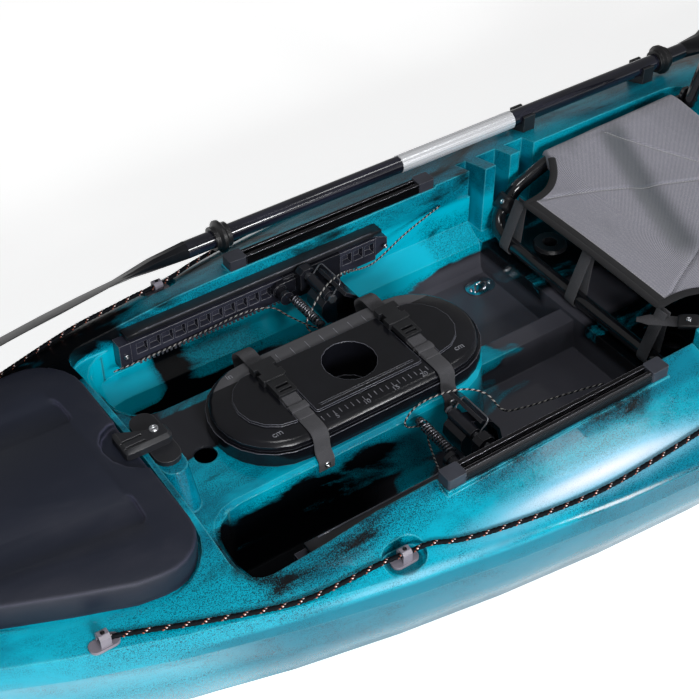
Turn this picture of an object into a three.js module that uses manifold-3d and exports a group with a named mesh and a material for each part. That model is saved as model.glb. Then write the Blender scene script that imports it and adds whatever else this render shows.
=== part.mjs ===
// Sit-on-top fishing kayak with a centre console, steering pedals, framed seat and paddle.
// Millimetres. +X runs to the bow, +Y to port, +Z up; the origin is on the flat keel.
import * as THREE from 'three';
import { mergeVertices } from 'three/addons/utils/BufferGeometryUtils.js';
import Module from 'manifold-3d';

const wasm = await Module();
wasm.setup();

// Clearances
const seatGap = 0.3;
const overrun = 60;
const endFlat = 1;
const leastCorner = 0.001;

// Facets
const cornerSizes = [0, 8, 60];
const stepsPerSize = 2;
const bendSteps = 3;
const roundSides = 16;
const tubeSides = 10;
const knuckleSides = 10;
const innerSides = 8;
const halfShare = 0.5;

// Hull outside
const bowX = 1530;
const sternX = -1770;
const beamX = -100;
const halfBeam = 425;
const tipHalfBeam = 12;
const deckEdgeZ = 245;
const bowSheer = 90;
const sternSheer = 70;
const bowKeelRise = 190;
const sternKeelRise = 120;
const crownMid = 84;
const crownBow = 30;
const crownStern = 40;
const crownBowStartX = 600;
const crownBowEndX = 860;
const crownSternStartX = -500;
const crownSternEndX = -900;
const hullWall = 5;
const hullStations = 25;
const bowFullnessShares = [2, 0.85];
const sternFullnessShares = [2.4, 0.8];
const rockerStartShare = 0.42;
const tipCrownShare = 0.25;
const sectionShares = [
  [0, 0],
  [0.3, 0],
  [0.56, 0.05],
  [0.78, 0.17],
  [0.91, 0.38],
  [0.965, 0.62],
  [0.975, 0.81],
  [1, 0.84],
  [1, 0.97],
  [0.985, 1],
];
const deckShares = [0.93, 0.84, 0.72, 0.58, 0.38];

// Cockpit
const cockpitFrontX = 815;
const cockpitRearX = -430;
const cockpitHalfWidth = 262;
const cockpitCorner = 40;
const footwellFrontX = 790;
const footwellCorner = 58;
const cornerFitShare = 0.46;
const stepX = 51;
const floorZ = 110;
const floorFillet = 8;
const ledgeLowZ = 165;
const ledgeTopZ = 190;
const ledgeHalfWidth = 228;
const floorHalfWidth = 220;
const platformZ = 170;
const bayHalfWidth = 300;
const seatHalfWidth = 268;
const bayNotches = [
  [56, 34],
  [12, -30],
  [-50, -90],
];
const bayRibHalfWidths = [246, 258];
const ridgeTopZ = 242;
const ridgeEdge = 6;
const ridgeHalfWidth = 108;
const ridgeFootHalfWidth = 124;
const ridgeRearX = 262;
const ribHalfWidth = 17;
const ribFootHalfWidth = 24;
const ribTopZ = 163;
const ribFrontX = 300;

// Deck fittings' places
const frontHoleX = 728;
const frontHoleY = 8;
const frontHoleRadius = 17;
const frontHoleDepth = 26;
const scupperX = -40;
const scupperY = 150;
const scupperRadius = 19;
const wellFrontX = -560;
const wellRearX = -1330;
const wellFloorZ = 165;
const wellInset = 88;
const wellCorner = 50;
const wellShares = [0, 0.35, 0.7, 1];
const wellScupperX = -900;
const innerStations = 11;
const trackPadMargin = 3;

// Console pod
const podX = 485;
const podHalfLength = 222;
const podFlangeHalfWidth = 97;
const podTubHalfWidth = 80;
const podTubInset = 22;
const podFlangeZ = 266;
const podFloorZ = 130;
const podWall = 3;
const podClearance = 4;

// Hatch
const hatchRearX = 830;
const hatchFrontX = 1290;
const hatchDeckInset = 57;
const hatchCorner = 70;
const hatchNoseCorner = 55;
const hatchSeatZ = 272;
const hatchRearHalfWidth = 226;
const hatchSideShares = [0.3, 0.6, 0.76];
const hatchWellDepth = 190;
const hatchSlope = 0.075;
const hatchMargin = 5;
const hatchCoamingInset = 16;
const hatchCoamingWidth = 7;
const hatchCoamingHeight = 16;

// Gear tracks
const trackRearX = 130;
const trackFrontX = 520;
const trackInnerY = 264;
const trackWidth = 23;
const trackHeight = 17;
const trackPadZ = 291;

// Latch
const latchSetback = 36;
const latchX = hatchRearX - latchSetback;
const latchBossHalfLength = 62;
const latchBossFoot = 30;
const latchBossHalfWidth = 19;
const latchBossTopZ = 294;
const latchY = -6;
const latchPlateHalfLength = 52;
const latchPlateHeight = 8;
const leverReach = 52;
const leverTipX = latchX + leverReach;
const leverTipHalfWidth = 25;
const leverHubHalfWidth = 15;
const leverSkew = -11;
const leverHeight = 16;
const leverBevel = 5;
const leverGrooveWidth = 4;
const leverGrooveDepth = 3;

// Hatch cover and hinge
const coverRim = 30;
const coverHeight = 40;
const coverCrown = 5;
const coverEdge = 8;
const coverLip = 2;
const coverCrownInset = 50;
const coverSkirt = 10;
const coverSkin = 6;
const coverNotchSetback = 8;
const coverNotchX = hatchRearX - coverNotchSetback;
const coverNotchY = -4;
const coverNotchRadius = 52;
const coverNotchFloor = 29;
const coverPocketSetback = 58;
const coverPocketRearX = hatchRearX + coverPocketSetback;
const coverPocketInset = 30;
const coverGrooveY = 108;
const coverGrooveHalfWidth = 32;
const coverGrooveBottomShare = 0.75;
const coverGrooveDepth = 4;
const coverGrooveSetback = 50;
const coverGrooveRearX = hatchRearX + coverGrooveSetback;
const coverGrooveFrontX = 1235;
const hingeX = 1308;
const hingeZ = 322;
const hingePinRadius = 3;
const hingeKnuckleRadius = 7;
const hingeHalfWidth = 36;
const hingeMiddleHalfWidth = 17;
const hingeNotchFrontX = 1330;
const hingeNotchHalfWidth = 42;
const hingeNotchFloorZ = 308;
const hingeLegHalfLength = 10;

// Console lid, straps and buckles
const flangeLipZ = 242;
const flangeTop = 4;
const flangeSkirt = 4;
const lidInset = 5;
const lidBandHeight = 7.7;
const lidFieldZ = 281;
const lidBevel = 4;
const panelHeight = 4;
const panelRearX = 394;
const panelFrontX = 576;
const panelPortY = 60;
const panelStarboardY = -55;
const endPanelRadius = 60;
const endPanelXs = [608, 362];
const lidSkin = 4;
const lidRim = 12;
const cupX = 480;
const cupRadius = 41;
const cupWall = 3;
const cupFloorZ = 215;
const strapXs = [594, 376];
const strapWidth = 26;
const strapThickness = 2;
const strapEndZ = 222;
const buckleHalfWidth = 19;
const buckleHeight = 11;
const buckleRearY = 15;
const buckleFrontY = -62;
const buckleJoinY = -20;
const buckleTongueHalfWidth = 15;
const buckleWindow = 6;
const buckleBar = 5;

// Gear tracks
const trackCapLength = 28;
const trackCapExtra = 1;
const slotCentre = 10.5;
const slotHalfWidth = 4;
const slotInnerHalfWidth = 7;
const slotLowZ = 6;
const slotNeckZ = 12;
const trackBevel = 3.5;
const trackBevelZ = 7;

// Foot rails and pedal carriages, given for the port side
const railRearX = 262;
const railFrontX = 712;
const railDepth = 20.2;
const railLowZ = 214;
const railTopZ = 257;
const railPitch = 22;
const railBar = 4;
const railCellLowZ = 230;
const railCellTopZ = 250;
const railCellDepth = 12;
const railCapLength = 19;
const railCapExtra = 2;
const railLugLength = 27;
const railLugInset = 6;
const sleeveRearX = 335;
const sleeveFrontX = 442;
const sleeveWall = 4;
const sleeveLip = 14;
const drumX = 455;
const drumZ = 245;
const drumRadius = 12;
const drumInnerY = 207;
const drumOuterY = 236;
const drumRim = 7;
const drumGroove = 3;
const rodX = 446;
const rodRadius = 3.5;
const rodTipRadius = 7;
const rodTipInnerY = 121.5;
const rodTipLength = 7;
const rodTipShares = [0.6, 0.4];
const springRadius = 6.5;
const springWire = 1.5;
const springTurns = 9;
const springSteps = 6;
const springSides = 5;
const wireSides = 6;
const armRearX = 425;
const armInnerY = 230;
const armHalfHeight = 12;
const pivotX = 410;
const pivotZ = 264;
const pivotRadius = 5;
const pivotInnerY = 146;
const pivotOuterY = 234;
const pivotNutRadius = 7.5;
const pivotNutLength = 4;
const bracketInnerY = 216;
const bracketOuterY = 232;
const bracketHalfLength = 14;
const bracketLowZ = 240;
const bracketTopZ = 277;
const bailWire = 1.2;
const bailBend = 6;
const bailReach = [-20, 22];
const bailInnerY = 152.5;
const bailOuterY = 210;
const pedalInnerY = 130;
const pedalOuterY = 203;
const pedalThickness = 6;
const pedalSpine = [
  [-12, 16],
  [-31, 2],
  [-45, -18],
  [-52, -42],
  [-44, -62],
  [-27, -77],
];
const pedalWeb = [
  [-4, 9],
  [-34, 0],
  [-51, -40],
  [-38, -62],
  [-6, -46],
];
const pedalFlank = [
  [8, -6],
  [15, -14],
  [16, -30],
  [6, -50],
  [-10, -56],
  [-14, -44],
  [-10, -6],
];
const pedalWebInnerY = 168;
const pedalWebOuterY = 190;
const flankInnerY = 154;
const flankOuterY = 196;
const hubRadius = 10;
const hubInnerY = 153;
const hubOuterY = 209;

// Cords: routes are given for the port side, starboard ones with the same sign
const ropeRadius = 3.5;
const ropeSides = 7;
const ropeSteps = 34;
const ropeXs = [1004, 980, 948, 900, 768, 700, 654, 618.5, 583, 545, 461, 336, 220, 151, 40, -55, -80, -104];
const ropeYShares = [0.5647, 0.5671, 0.5929, 0.6353, 0.7341, 0.7506, 0.7576, 0.7647, 0.7788, 0.8118, 0.8541, 0.8941, 0.8965, 0.8918, 0.8824, 0.8741, 0.8729, 0.8729];
const ropeHugging = 4.95;
const ropePlaces = ropeXs.map((x, i) => [x, halfBeam * ropeYShares[i]]);
const lineRadius = 1;
const lineSides = 6;
const lineSteps = 34;
const portLineStart = [
  [216, 250, 292],
  [262, 224, 275],
  [325, 205, 268],
];
const starboardLineStart = [
  [121, 256, 255],
  [205, 236, 247],
  [290, 211, 238],
];
const lineRoute = [
  [345, 190, 262],
  [362, 168, 286],
  [390, 155, 300],
  [425, 143, 300],
  [458, 130, 282],
  [472, 119, 258],
  [464, 114.5, 240],
  [446, 114, 231],
  [434, 122, 228],
  [446, 148, 225],
  [464, 190, 226],
  [476, 214, 231],
  [510, 229, 232],
  [600, 235, 224],
  [700, 236.5, 220],
  [720, 237.8, 219],
  [745, 237.8, 219],
];

// Padeyes
const padeyeXs = [1000, 618.5, -100];
const padeyeYShares = [0.5647, 0.7647, 0.8729];
const padeyePlaces = padeyeXs.map((x, i) => [x, halfBeam * padeyeYShares[i]]);
const padeyeRecessHalfLength = 31;
const padeyeRecessHalfWidth = 21;
const padeyeRecessZ = 254;
const padeyeHalfLength = 20;
const padeyeHalfWidth = 10;
const padeyeBase = 4;
const padeyeArchHalfWidth = 8;
const padeyeArchHeight = 23;
const padeyeArchHalfLength = 7;
const padeyeHoleHalfWidth = 5;
const padeyeHoleLowZ = 8;
const padeyeHoleTopZ = 19;
const floorPadeyeX = 82;
const floorPadeyeY = -182;
const floorPadeyeHalfLength = 28;
const floorPadeyeHalfWidth = 18;
const floorPadeyePlate = 3;
const floorPadeyeWire = 2.2;
const floorPadeyeLoop = 11;

// Drain ring under the seat
const drainFlangeRadius = 30;
const drainFlangeHeight = 6;
const drainBoreRadius = 13;
const drainDepth = 20;

// Carrying handles
const handleRadius = 8;
const handleHalfSpan = 52;
const handleRise = 28;
const handleBend = 16;
const bowHandleX = 1432;
const sternHandleX = -1600;

// Seat
const seatTubeRadius = 12.5;
const seatTubeHalfWidth = 232;
const seatTubeZ = 185.5;
const seatFrontX = 28;
const seatShoulderX = -25;
const seatShoulderZ = 248;
const seatKneeX = -95;
const seatKneeZ = 277;
const seatRearX = -400;
const seatRearZ = 285;
const seatLegX = -330;
const seatBend = 42;
const clothThickness = 5;
const clothStations = [20, -4, -32, -58, -78, -90, -96, -150, -230, -310, -382];
const clothHalfWidths = [157, 160, 168, 184, 208, 250, 251, 251, 251, 251, 251];
const clothWrapStation = 6;
const clothShares = [0, 0.35, 0.65, 0.86, 0.925, 0.975, 1];
const clothDropShares = [0, 0, 0, 0.24, 0, 0.26, 0.85];
const clothFrontZ = 268;
const clothSag = 16;
const clothRise = 5.5;
const loopYs = [-176, -8, 162];
const loopWidth = 22;
const loopThickness = 2;
const loopTopX = 12;
const loopTopZ = 262;
const loopArc = 1.75;
const loopLean = 0.1;
const loopArcSteps = 10;

// Seat back
const backPivotX = -400;
const backPivotZ = 306;
const backPinRadius = 3;
const backTailShare = -0.035;
const backHeight = 430;
const backLeanDegrees = 78;
const backTubeRadius = 11;
const backHalfWidth = 206.5;
const backTopHalfWidth = 178;
const backBend = 60;
const backLowShare = 0.16;
const backTopShare = 0.93;
const backClothThickness = 14;
const backClothRows = 5;
const backSag = 22;
const backSqueezeShare = 0.88;
const backSqueezeFromShare = 0.7;

// Paddle
const paddleYShare = -0.788;
const paddleY = halfBeam * paddleYShare;
const paddleZ = 305;
const paddleRadius = 15;
const ferruleRadius = 16;
const ferruleFrontX = 150;
const ferruleRearX = -90;
const bladeFrontX = 560;
const bladeRearX = -500;
const bladeLength = 580;
const bladeNeck = 220;
const bladeTipShares = [0.72, 0.3];
const bladeThinningShare = 1.6;
const bladeHalfWidth = 86;
const bladeThickness = 5;
const bladeTurnDegrees = 43;
const bladeCurve = 62;
const bladeStations = 9;
const dripXs = [498, -445];
const dripRadius = 27;
const dripHalfLength = 14;
const clipXs = [-118, -400];
const clipHalfLength = 12;
const clipWall = 5;
const clipBase = 5;

// Rudder
const rudderAxisX = -1806;
const rudderPinRadius = 5;
const gudgeonLowZ = 268;
const gudgeonHighZ = 306;
const gudgeonHeight = 12;
const gudgeonHalfWidth = 13;
const gudgeonLength = 60;
const rudderHeadLowZ = 281;
const rudderHeadHighZ = 305;
const rudderPivotZ = 416;
const rudderCheek = 6;
const rudderCheekHalfLength = 24;
const rudderArmHalfWidth = 74;
const rudderArmHalfLength = 6;
const rudderBladeThickness = 8;
const rudderBladeLength = 420;
const rudderBladeRoot = 22;
const rudderBladeHalfWidth = 44;
const rudderTipShare = 0.6;

// Colour, roughness and metalness
const colours = {
  teal: [0x0a93ab, 0.35, 0],
  softBlack: [0x23262f, 0.6, 0],
  plastic: [0x17181c, 0.45, 0],
  gloss: [0x0d0e12, 0.2, 0],
  grey: [0x44464e, 0.55, 0],
  anodised: [0x121214, 0.35, 0.8],
  steel: [0x9b9da1, 0.3, 1],
  aluminium: [0xd7dade, 0.25, 1],
  tubeBlack: [0x0e0f11, 0.25, 0.3],
  webbing: [0x2a2b2e, 0.9, 0],
  mesh: [0x85868b, 0.9, 0],
  cord: [0x1b1a1c, 0.8, 0],
};

function material([colour, roughness, metalness]) {
  return new THREE.MeshStandardMaterial({ color: colour, roughness, metalness });
}

// Closed solids

function solidFrom(vertices, triangles) {
  const mesh = new wasm.Mesh({
    numProp: 3,
    vertProperties: new Float32Array(vertices.flat()),
    triVerts: new Uint32Array(triangles.flat()),
  });
  return new wasm.Manifold(mesh);
}

function solidOf(geometry) {
  const bare = geometry.clone();
  bare.deleteAttribute('normal');
  bare.deleteAttribute('uv');
  const merged = mergeVertices(bare);
  const mesh = new wasm.Mesh({
    numProp: 3,
    vertProperties: new Float32Array(merged.attributes.position.array),
    triVerts: new Uint32Array(merged.index.array),
  });
  return new wasm.Manifold(mesh);
}

function geometryOf(solid) {
  const mesh = solid.getMesh();
  const geometry = new THREE.BufferGeometry();
  geometry.setAttribute('position', new THREE.BufferAttribute(mesh.vertProperties, 3));
  geometry.setIndex(new THREE.BufferAttribute(mesh.triVerts, 1));
  geometry.computeVertexNormals();
  return geometry;
}

function joined(solids) {
  return solids.reduce((sum, next) => sum.add(next));
}

// Outlines: corners are [x, y, radius], listed anticlockwise.

function cornerSteps(radius, perSize) {
  return cornerSizes.filter((size) => radius > size).length * perSize;
}

function rounded(corners, grow = 0, perSize = stepsPerSize) {
  const count = corners.length;
  const at = (i) => corners[(i + count) % count];
  const edges = corners.map((corner, i) => {
    const next = at(i + 1);
    const along = new THREE.Vector2(next[0] - corner[0], next[1] - corner[1]).normalize();
    const out = new THREE.Vector2(along.y, -along.x);
    return { along, out, base: new THREE.Vector2(corner[0], corner[1]).addScaledVector(out, grow) };
  });
  const points = [];
  corners.forEach((corner, i) => {
    const before = edges[(i - 1 + count) % count];
    const after = edges[i];
    const cross = before.along.x * after.along.y - before.along.y * after.along.x;
    const apart = after.base.clone().sub(before.base);
    const run = (apart.x * after.along.y - apart.y * after.along.x) / cross;
    const point = before.base.clone().addScaledVector(before.along, run);
    const steps = cornerSteps(corner[2], perSize);
    const radius = Math.max(cross > 0 ? corner[2] + grow : corner[2] - grow, leastCorner);
    if (steps === 0) {
      points.push(point);
      return;
    }
    const turn = Math.atan2(cross, before.along.dot(after.along));
    const reach = radius * Math.tan(Math.abs(turn) / 2);
    const start = point.clone().addScaledVector(before.along, -reach);
    const side = before.out.clone().multiplyScalar(-Math.sign(cross));
    const centre = start.clone().addScaledVector(side, radius);
    for (let k = 0; k <= steps; k += 1) {
      const angle = (turn * k) / steps;
      const spoke = start.clone().sub(centre).rotateAround(new THREE.Vector2(), angle);
      points.push(centre.clone().add(spoke));
    }
  });
  return points;
}

function mirroredOutline(corners) {
  return corners.map(([x, y, radius]) => [x, -y, radius]).reverse();
}

// A solid between flat outlines with the same number of points, lowest first.
function stacked(levels) {
  const ring = levels[0].points.length;
  const vertices = levels.flatMap(({ z, points }) => points.map((point) => [point.x, point.y, z]));
  const triangles = [];
  for (let level = 0; level < levels.length - 1; level += 1) {
    for (let i = 0; i < ring; i += 1) {
      const a = level * ring + i;
      const b = level * ring + ((i + 1) % ring);
      triangles.push([a, b, b + ring], [a, b + ring, a + ring]);
    }
  }
  const top = (levels.length - 1) * ring;
  THREE.ShapeUtils.triangulateShape(levels[0].points, []).forEach(([a, b, c]) => triangles.push([c, b, a]));
  THREE.ShapeUtils.triangulateShape(levels[levels.length - 1].points, []).forEach(([a, b, c]) =>
    triangles.push([a + top, b + top, c + top]),
  );
  return solidFrom(vertices, triangles);
}

// The skin inside the hull is drawn with fewer facets than what shows.
function skinSteps(grow) {
  return grow > 0 ? 1 : stepsPerSize;
}

function prism(corners, low, high, grow = 0) {
  const points = rounded(corners, grow, skinSteps(grow));
  return stacked([
    { z: low, points },
    { z: high, points },
  ]);
}

function drum(radius, low, high, x, y, sides = roundSides) {
  const geometry = new THREE.CylinderGeometry(radius, radius, high - low, sides);
  geometry.rotateX(Math.PI / 2);
  geometry.translate(x, y, (low + high) / 2);
  return solidOf(geometry);
}

// Hull form

function endShare(x) {
  return x > beamX ? (x - beamX) / (bowX - beamX) : (beamX - x) / (beamX - sternX);
}

function halfBeamAt(x) {
  const [power, root] = x > beamX ? bowFullnessShares : sternFullnessShares;
  const share = Math.min(endShare(x), 1);
  return Math.max(halfBeam * (1 - share ** power) ** root, tipHalfBeam);
}

function deckEdgeAt(x) {
  return deckEdgeZ + (x > beamX ? bowSheer : sternSheer) * endShare(x) ** 3;
}

function keelAt(x) {
  const rise = x > beamX ? bowKeelRise : sternKeelRise;
  return rise * Math.max((endShare(x) - rockerStartShare) / (1 - rockerStartShare), 0) ** 3;
}

function crownAt(x) {
  if (x > beamX) {
    return THREE.MathUtils.lerp(crownMid, crownBow, THREE.MathUtils.smoothstep(x, crownBowStartX, crownBowEndX));
  }
  const share = THREE.MathUtils.smoothstep(x, crownSternEndX, crownSternStartX);
  const crown = THREE.MathUtils.lerp(crownStern, crownMid, share);
  return crown * Math.min((halfBeamAt(x) / crownStern) * tipCrownShare, 1);
}

function deckAt(x, y) {
  const share = Math.min(Math.abs(y) / halfBeamAt(x), 1);
  return deckEdgeAt(x) + crownAt(x) * (1 - share * share);
}

function hullRing(x, wall) {
  const beam = halfBeamAt(x);
  const inner = Math.max(beam - wall, tipHalfBeam / 2);
  const low = keelAt(x) + wall;
  const high = deckEdgeAt(x) - wall;
  const half = sectionShares.map(([y, z]) => [y * inner, low + z * (high - low)]);
  deckShares.forEach((share) => half.push([share * inner, deckAt(x, share * beam) - wall]));
  const port = half.slice(1).map(([y, z]) => [x, y, z]);
  const starboard = half.slice(1).map(([y, z]) => [x, -y, z]);
  return [[x, 0, low], ...port, [x, 0, deckAt(x, 0) - wall], ...starboard.reverse()];
}

function lofted(rings) {
  const ring = rings[0].length;
  const vertices = rings.flat();
  const triangles = [];
  for (let station = 0; station < rings.length - 1; station += 1) {
    for (let i = 0; i < ring; i += 1) {
      const a = station * ring + i;
      const b = station * ring + ((i + 1) % ring);
      triangles.push([a, b, b + ring], [a, b + ring, a + ring]);
    }
  }
  const cap = (start, flip) => {
    const flat = vertices.slice(start, start + ring).map(([, y, z]) => new THREE.Vector2(y, z));
    THREE.ShapeUtils.triangulateShape(flat, []).forEach(([a, b, c]) => {
      triangles.push(flip ? [start + c, start + b, start + a] : [start + a, start + b, start + c]);
    });
  };
  cap(0, true);
  cap(vertices.length - ring, false);
  return solidFrom(vertices, triangles);
}

function hullLoft(wall, stations) {
  const rings = [];
  for (let i = 0; i <= stations; i += 1) {
    const u = i / stations;
    const eased = (u + (1 - Math.cos(Math.PI * u)) / 2) / 2;
    const x = THREE.MathUtils.lerp(sternX + 2 * wall, bowX - 2 * wall, eased);
    rings.push(hullRing(x, wall));
  }
  return lofted(rings);
}

// Hollows moulded into the hull; grow is the skin left round them.

function footwell(grow) {
  const outline = (inner, outer, front) => {
    const corner = Math.min(footwellCorner, (outer - inner) * cornerFitShare);
    return rounded(
      [
        [stepX, inner, 0],
        [front, inner, corner],
        [front, outer, corner],
        [stepX, outer, 0],
      ],
      grow,
      skinSteps(grow),
    );
  };
  const lowInset = footwellFrontX - floorFillet;
  return stacked([
    {
      z: floorZ - grow,
      points: outline(ridgeFootHalfWidth, floorHalfWidth - floorFillet, lowInset - floorFillet),
    },
    {
      z: floorZ + floorFillet - grow,
      points: outline(ridgeFootHalfWidth - floorFillet / 2, floorHalfWidth, lowInset),
    },
    { z: ledgeLowZ - grow, points: outline(ridgeHalfWidth + ridgeEdge, ledgeHalfWidth, footwellFrontX) },
    { z: ledgeTopZ - grow, points: outline(ridgeHalfWidth + ridgeEdge / 2, cockpitHalfWidth, footwellFrontX) },
    { z: ridgeTopZ - ridgeEdge, points: outline(ridgeHalfWidth, cockpitHalfWidth, footwellFrontX) },
    { z: ridgeTopZ, points: outline(ridgeHalfWidth - ridgeEdge, cockpitHalfWidth, footwellFrontX + ridgeEdge) },
    {
      z: ridgeTopZ + ridgeEdge,
      points: outline(ridgeHalfWidth - ridgeEdge, cockpitHalfWidth, footwellFrontX + ridgeEdge),
    },
  ]);
}

function mirroredY(solid) {
  return solid.mirror([0, 1, 0]);
}

function ridgeSolid(grow) {
  const outline = (width) =>
    rounded(
      [
        [ridgeRearX + ridgeHalfWidth - width, width, width - endFlat],
        [ridgeRearX + ridgeHalfWidth - width, -width, width - endFlat],
        [podX + podHalfLength, -width, 0],
        [podX + podHalfLength, width, 0],
      ],
      -grow,
      skinSteps(grow),
    );
  return stacked([
    { z: floorZ - overrun, points: outline(ridgeFootHalfWidth) },
    { z: floorZ + floorFillet, points: outline(ridgeFootHalfWidth - floorFillet / 2) },
    { z: ledgeTopZ, points: outline(ridgeHalfWidth + ridgeEdge / 2) },
    { z: ridgeTopZ - ridgeEdge - grow, points: outline(ridgeHalfWidth) },
    { z: ridgeTopZ - grow, points: outline(ridgeHalfWidth - ridgeEdge) },
  ]);
}

function ribSolid(grow) {
  const outline = (width) =>
    rounded(
      [
        [stepX - overrun, -width, 0],
        [ribFrontX, -width, 0],
        [ribFrontX, width, 0],
        [stepX - overrun, width, 0],
      ],
      -grow,
    );
  return stacked([
    { z: floorZ - overrun, points: outline(ribFootHalfWidth) },
    { z: floorZ, points: outline(ribFootHalfWidth) },
    { z: ribTopZ - grow, points: outline(ribHalfWidth) },
  ]);
}

function middleFloor(grow) {
  const width = ridgeFootHalfWidth + endFlat;
  const front = ridgeRearX + ridgeFootHalfWidth;
  const box = prism(
    [
      [stepX, -width, 0],
      [front, -width, 0],
      [front, width, 0],
      [stepX, width, 0],
    ],
    floorZ - grow,
    ridgeTopZ + ridgeEdge,
    grow,
  );
  return box.subtract(ridgeSolid(grow)).subtract(ribSolid(grow));
}

function upperCockpit(grow) {
  const half = [
    [cockpitFrontX, cockpitHalfWidth, cockpitCorner],
    [bayNotches[0][0], cockpitHalfWidth, 0],
  ];
  bayNotches.forEach(([front, rear], i) => {
    half.push([front, bayHalfWidth, 0], [rear, bayHalfWidth, 0]);
    if (i < bayRibHalfWidths.length) {
      half.push([rear, bayRibHalfWidths[i], 0], [bayNotches[i + 1][0], bayRibHalfWidths[i], 0]);
    }
  });
  half.push([bayNotches[2][1], seatHalfWidth, 0], [cockpitRearX, seatHalfWidth, cockpitCorner]);
  const all = [...half, ...mirroredOutline(half)];
  const high = deckEdgeZ + crownMid + overrun;
  const bay = prism(all, platformZ - grow, high, grow);
  const aft = boxSolid([cockpitRearX - overrun, -halfBeam, floorZ], [stepX + grow, halfBeam, high + overrun]);
  return prism(all, ridgeTopZ - grow, high, grow).add(bay.intersect(aft));
}

function podCavity(grow) {
  const inset = podTubInset - podClearance;
  const width = podTubHalfWidth + podClearance;
  const low = podFloorZ - podClearance - grow;
  return prism(stadium(podX, podHalfLength - inset, width), low, deckEdgeZ + overrun, grow);
}

function stadium(x, halfLength, halfWidth) {
  return [
    [x + halfLength, -halfWidth, halfWidth - endFlat],
    [x + halfLength, halfWidth, halfWidth - endFlat],
    [x - halfLength, halfWidth, halfWidth - endFlat],
    [x - halfLength, -halfWidth, halfWidth - endFlat],
  ];
}

function tankwell(grow) {
  const half = [];
  wellShares.forEach((share, i) => {
    const x = THREE.MathUtils.lerp(wellFrontX, wellRearX, share);
    const end = i === 0 || i === wellShares.length - 1;
    half.push([x, halfBeamAt(x) - wellInset, end ? wellCorner : 0]);
  });
  const all = [...half, ...mirroredOutline(half)];
  return stacked([
    { z: wellFloorZ - grow, points: rounded(all, grow - floorFillet, skinSteps(grow)) },
    { z: wellFloorZ + floorFillet - grow, points: rounded(all, grow, skinSteps(grow)) },
    { z: deckEdgeZ + crownMid + overrun, points: rounded(all, grow, skinSteps(grow)) },
  ]);
}

function hatchOutline(grow, perSize = stepsPerSize) {
  const half = [[hatchFrontX, halfBeamAt(hatchFrontX) - hatchDeckInset, hatchNoseCorner]];
  hatchSideShares.forEach((share) => {
    const x = THREE.MathUtils.lerp(hatchFrontX, hatchRearX, share);
    half.push([x, halfBeamAt(x) - hatchDeckInset, 0]);
  });
  half.push([hatchRearX, hatchRearHalfWidth, hatchCorner]);
  return rounded([...half, ...mirroredOutline(half)], grow, perSize);
}

// The hatch lies on a plane that rises towards the bow.
const hatchFrame = new THREE.Matrix4()
  .makeTranslation(hatchRearX, 0, hatchSeatZ)
  .multiply(new THREE.Matrix4().makeRotationY(-Math.atan(hatchSlope)))
  .multiply(new THREE.Matrix4().makeTranslation(-hatchRearX, 0, 0));

function onHatch(solid) {
  return solid.transform(hatchFrame.toArray());
}

function hatchRecess() {
  const points = hatchOutline(hatchMargin);
  return onHatch(
    stacked([
      { z: 0, points },
      { z: overrun, points },
    ]),
  );
}

function hatchCoaming() {
  const outer = hatchOutline(-hatchCoamingInset);
  return onHatch(
    stacked([
      { z: -hullWall, points: outer },
      { z: hatchCoamingHeight, points: outer },
    ]),
  );
}

function hatchHole() {
  const inner = hatchOutline(-hatchCoamingInset - hatchCoamingWidth);
  return onHatch(
    stacked([
      { z: -hatchWellDepth, points: inner },
      { z: overrun, points: inner },
    ]),
  );
}

function boxSolid(low, high) {
  const geometry = new THREE.BoxGeometry(high[0] - low[0], high[1] - low[1], high[2] - low[2]);
  geometry.translate((low[0] + high[0]) / 2, (low[1] + high[1]) / 2, (low[2] + high[2]) / 2);
  return solidOf(geometry);
}

function latchBoss() {
  const outline = (length, width) =>
    rounded([
      [latchX + width, -length, width - endFlat],
      [latchX + width, length, width - endFlat],
      [latchX - width, length, width - endFlat],
      [latchX - width, -length, width - endFlat],
    ]);
  return stacked([
    { z: ridgeTopZ - overrun, points: outline(latchBossHalfLength + latchBossFoot, latchBossHalfWidth) },
    { z: ridgeTopZ, points: outline(latchBossHalfLength + latchBossFoot, latchBossHalfWidth) },
    { z: latchBossTopZ, points: outline(latchBossHalfLength, latchBossHalfWidth) },
  ]);
}

function bothSides(solid) {
  return [solid, mirroredY(solid)];
}

function hingeNotch(grow) {
  const outline = [
    [hingeNotchFrontX, -hingeNotchHalfWidth, hingeKnuckleRadius],
    [hingeNotchFrontX, hingeNotchHalfWidth, hingeKnuckleRadius],
    [hatchFrontX, hingeNotchHalfWidth, 0],
    [hatchFrontX, -hingeNotchHalfWidth, 0],
  ];
  return prism(outline, hingeNotchFloorZ - grow, hingeNotchFloorZ + overrun, grow);
}

function hullHollows(grow) {
  const sides = grow > 0 ? innerSides : roundSides;
  const scupper = drum(scupperRadius + grow, -overrun, platformZ + overrun, scupperX, scupperY, sides);
  const wellScupper = drum(scupperRadius + grow, -overrun, wellFloorZ + overrun, wellScupperX, scupperY, sides);
  return joined([
    ...bothSides(footwell(grow)),
    middleFloor(grow),
    upperCockpit(grow),
    podCavity(grow),
    tankwell(grow),
    ...bothSides(scupper),
    ...bothSides(wellScupper),
    ...bothSides(padeyeRecess(grow)),
    ...bothSides(trackPad(trackPadZ - grow, trackPadZ + overrun, grow)),
    hingeNotch(grow),
  ]);
}

function trackPad(low, high, grow) {
  const margin = trackPadMargin + grow;
  return boxSolid(
    [trackRearX - margin, trackInnerY - margin, low],
    [trackFrontX + margin, trackInnerY + trackWidth + margin, high],
  );
}

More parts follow.
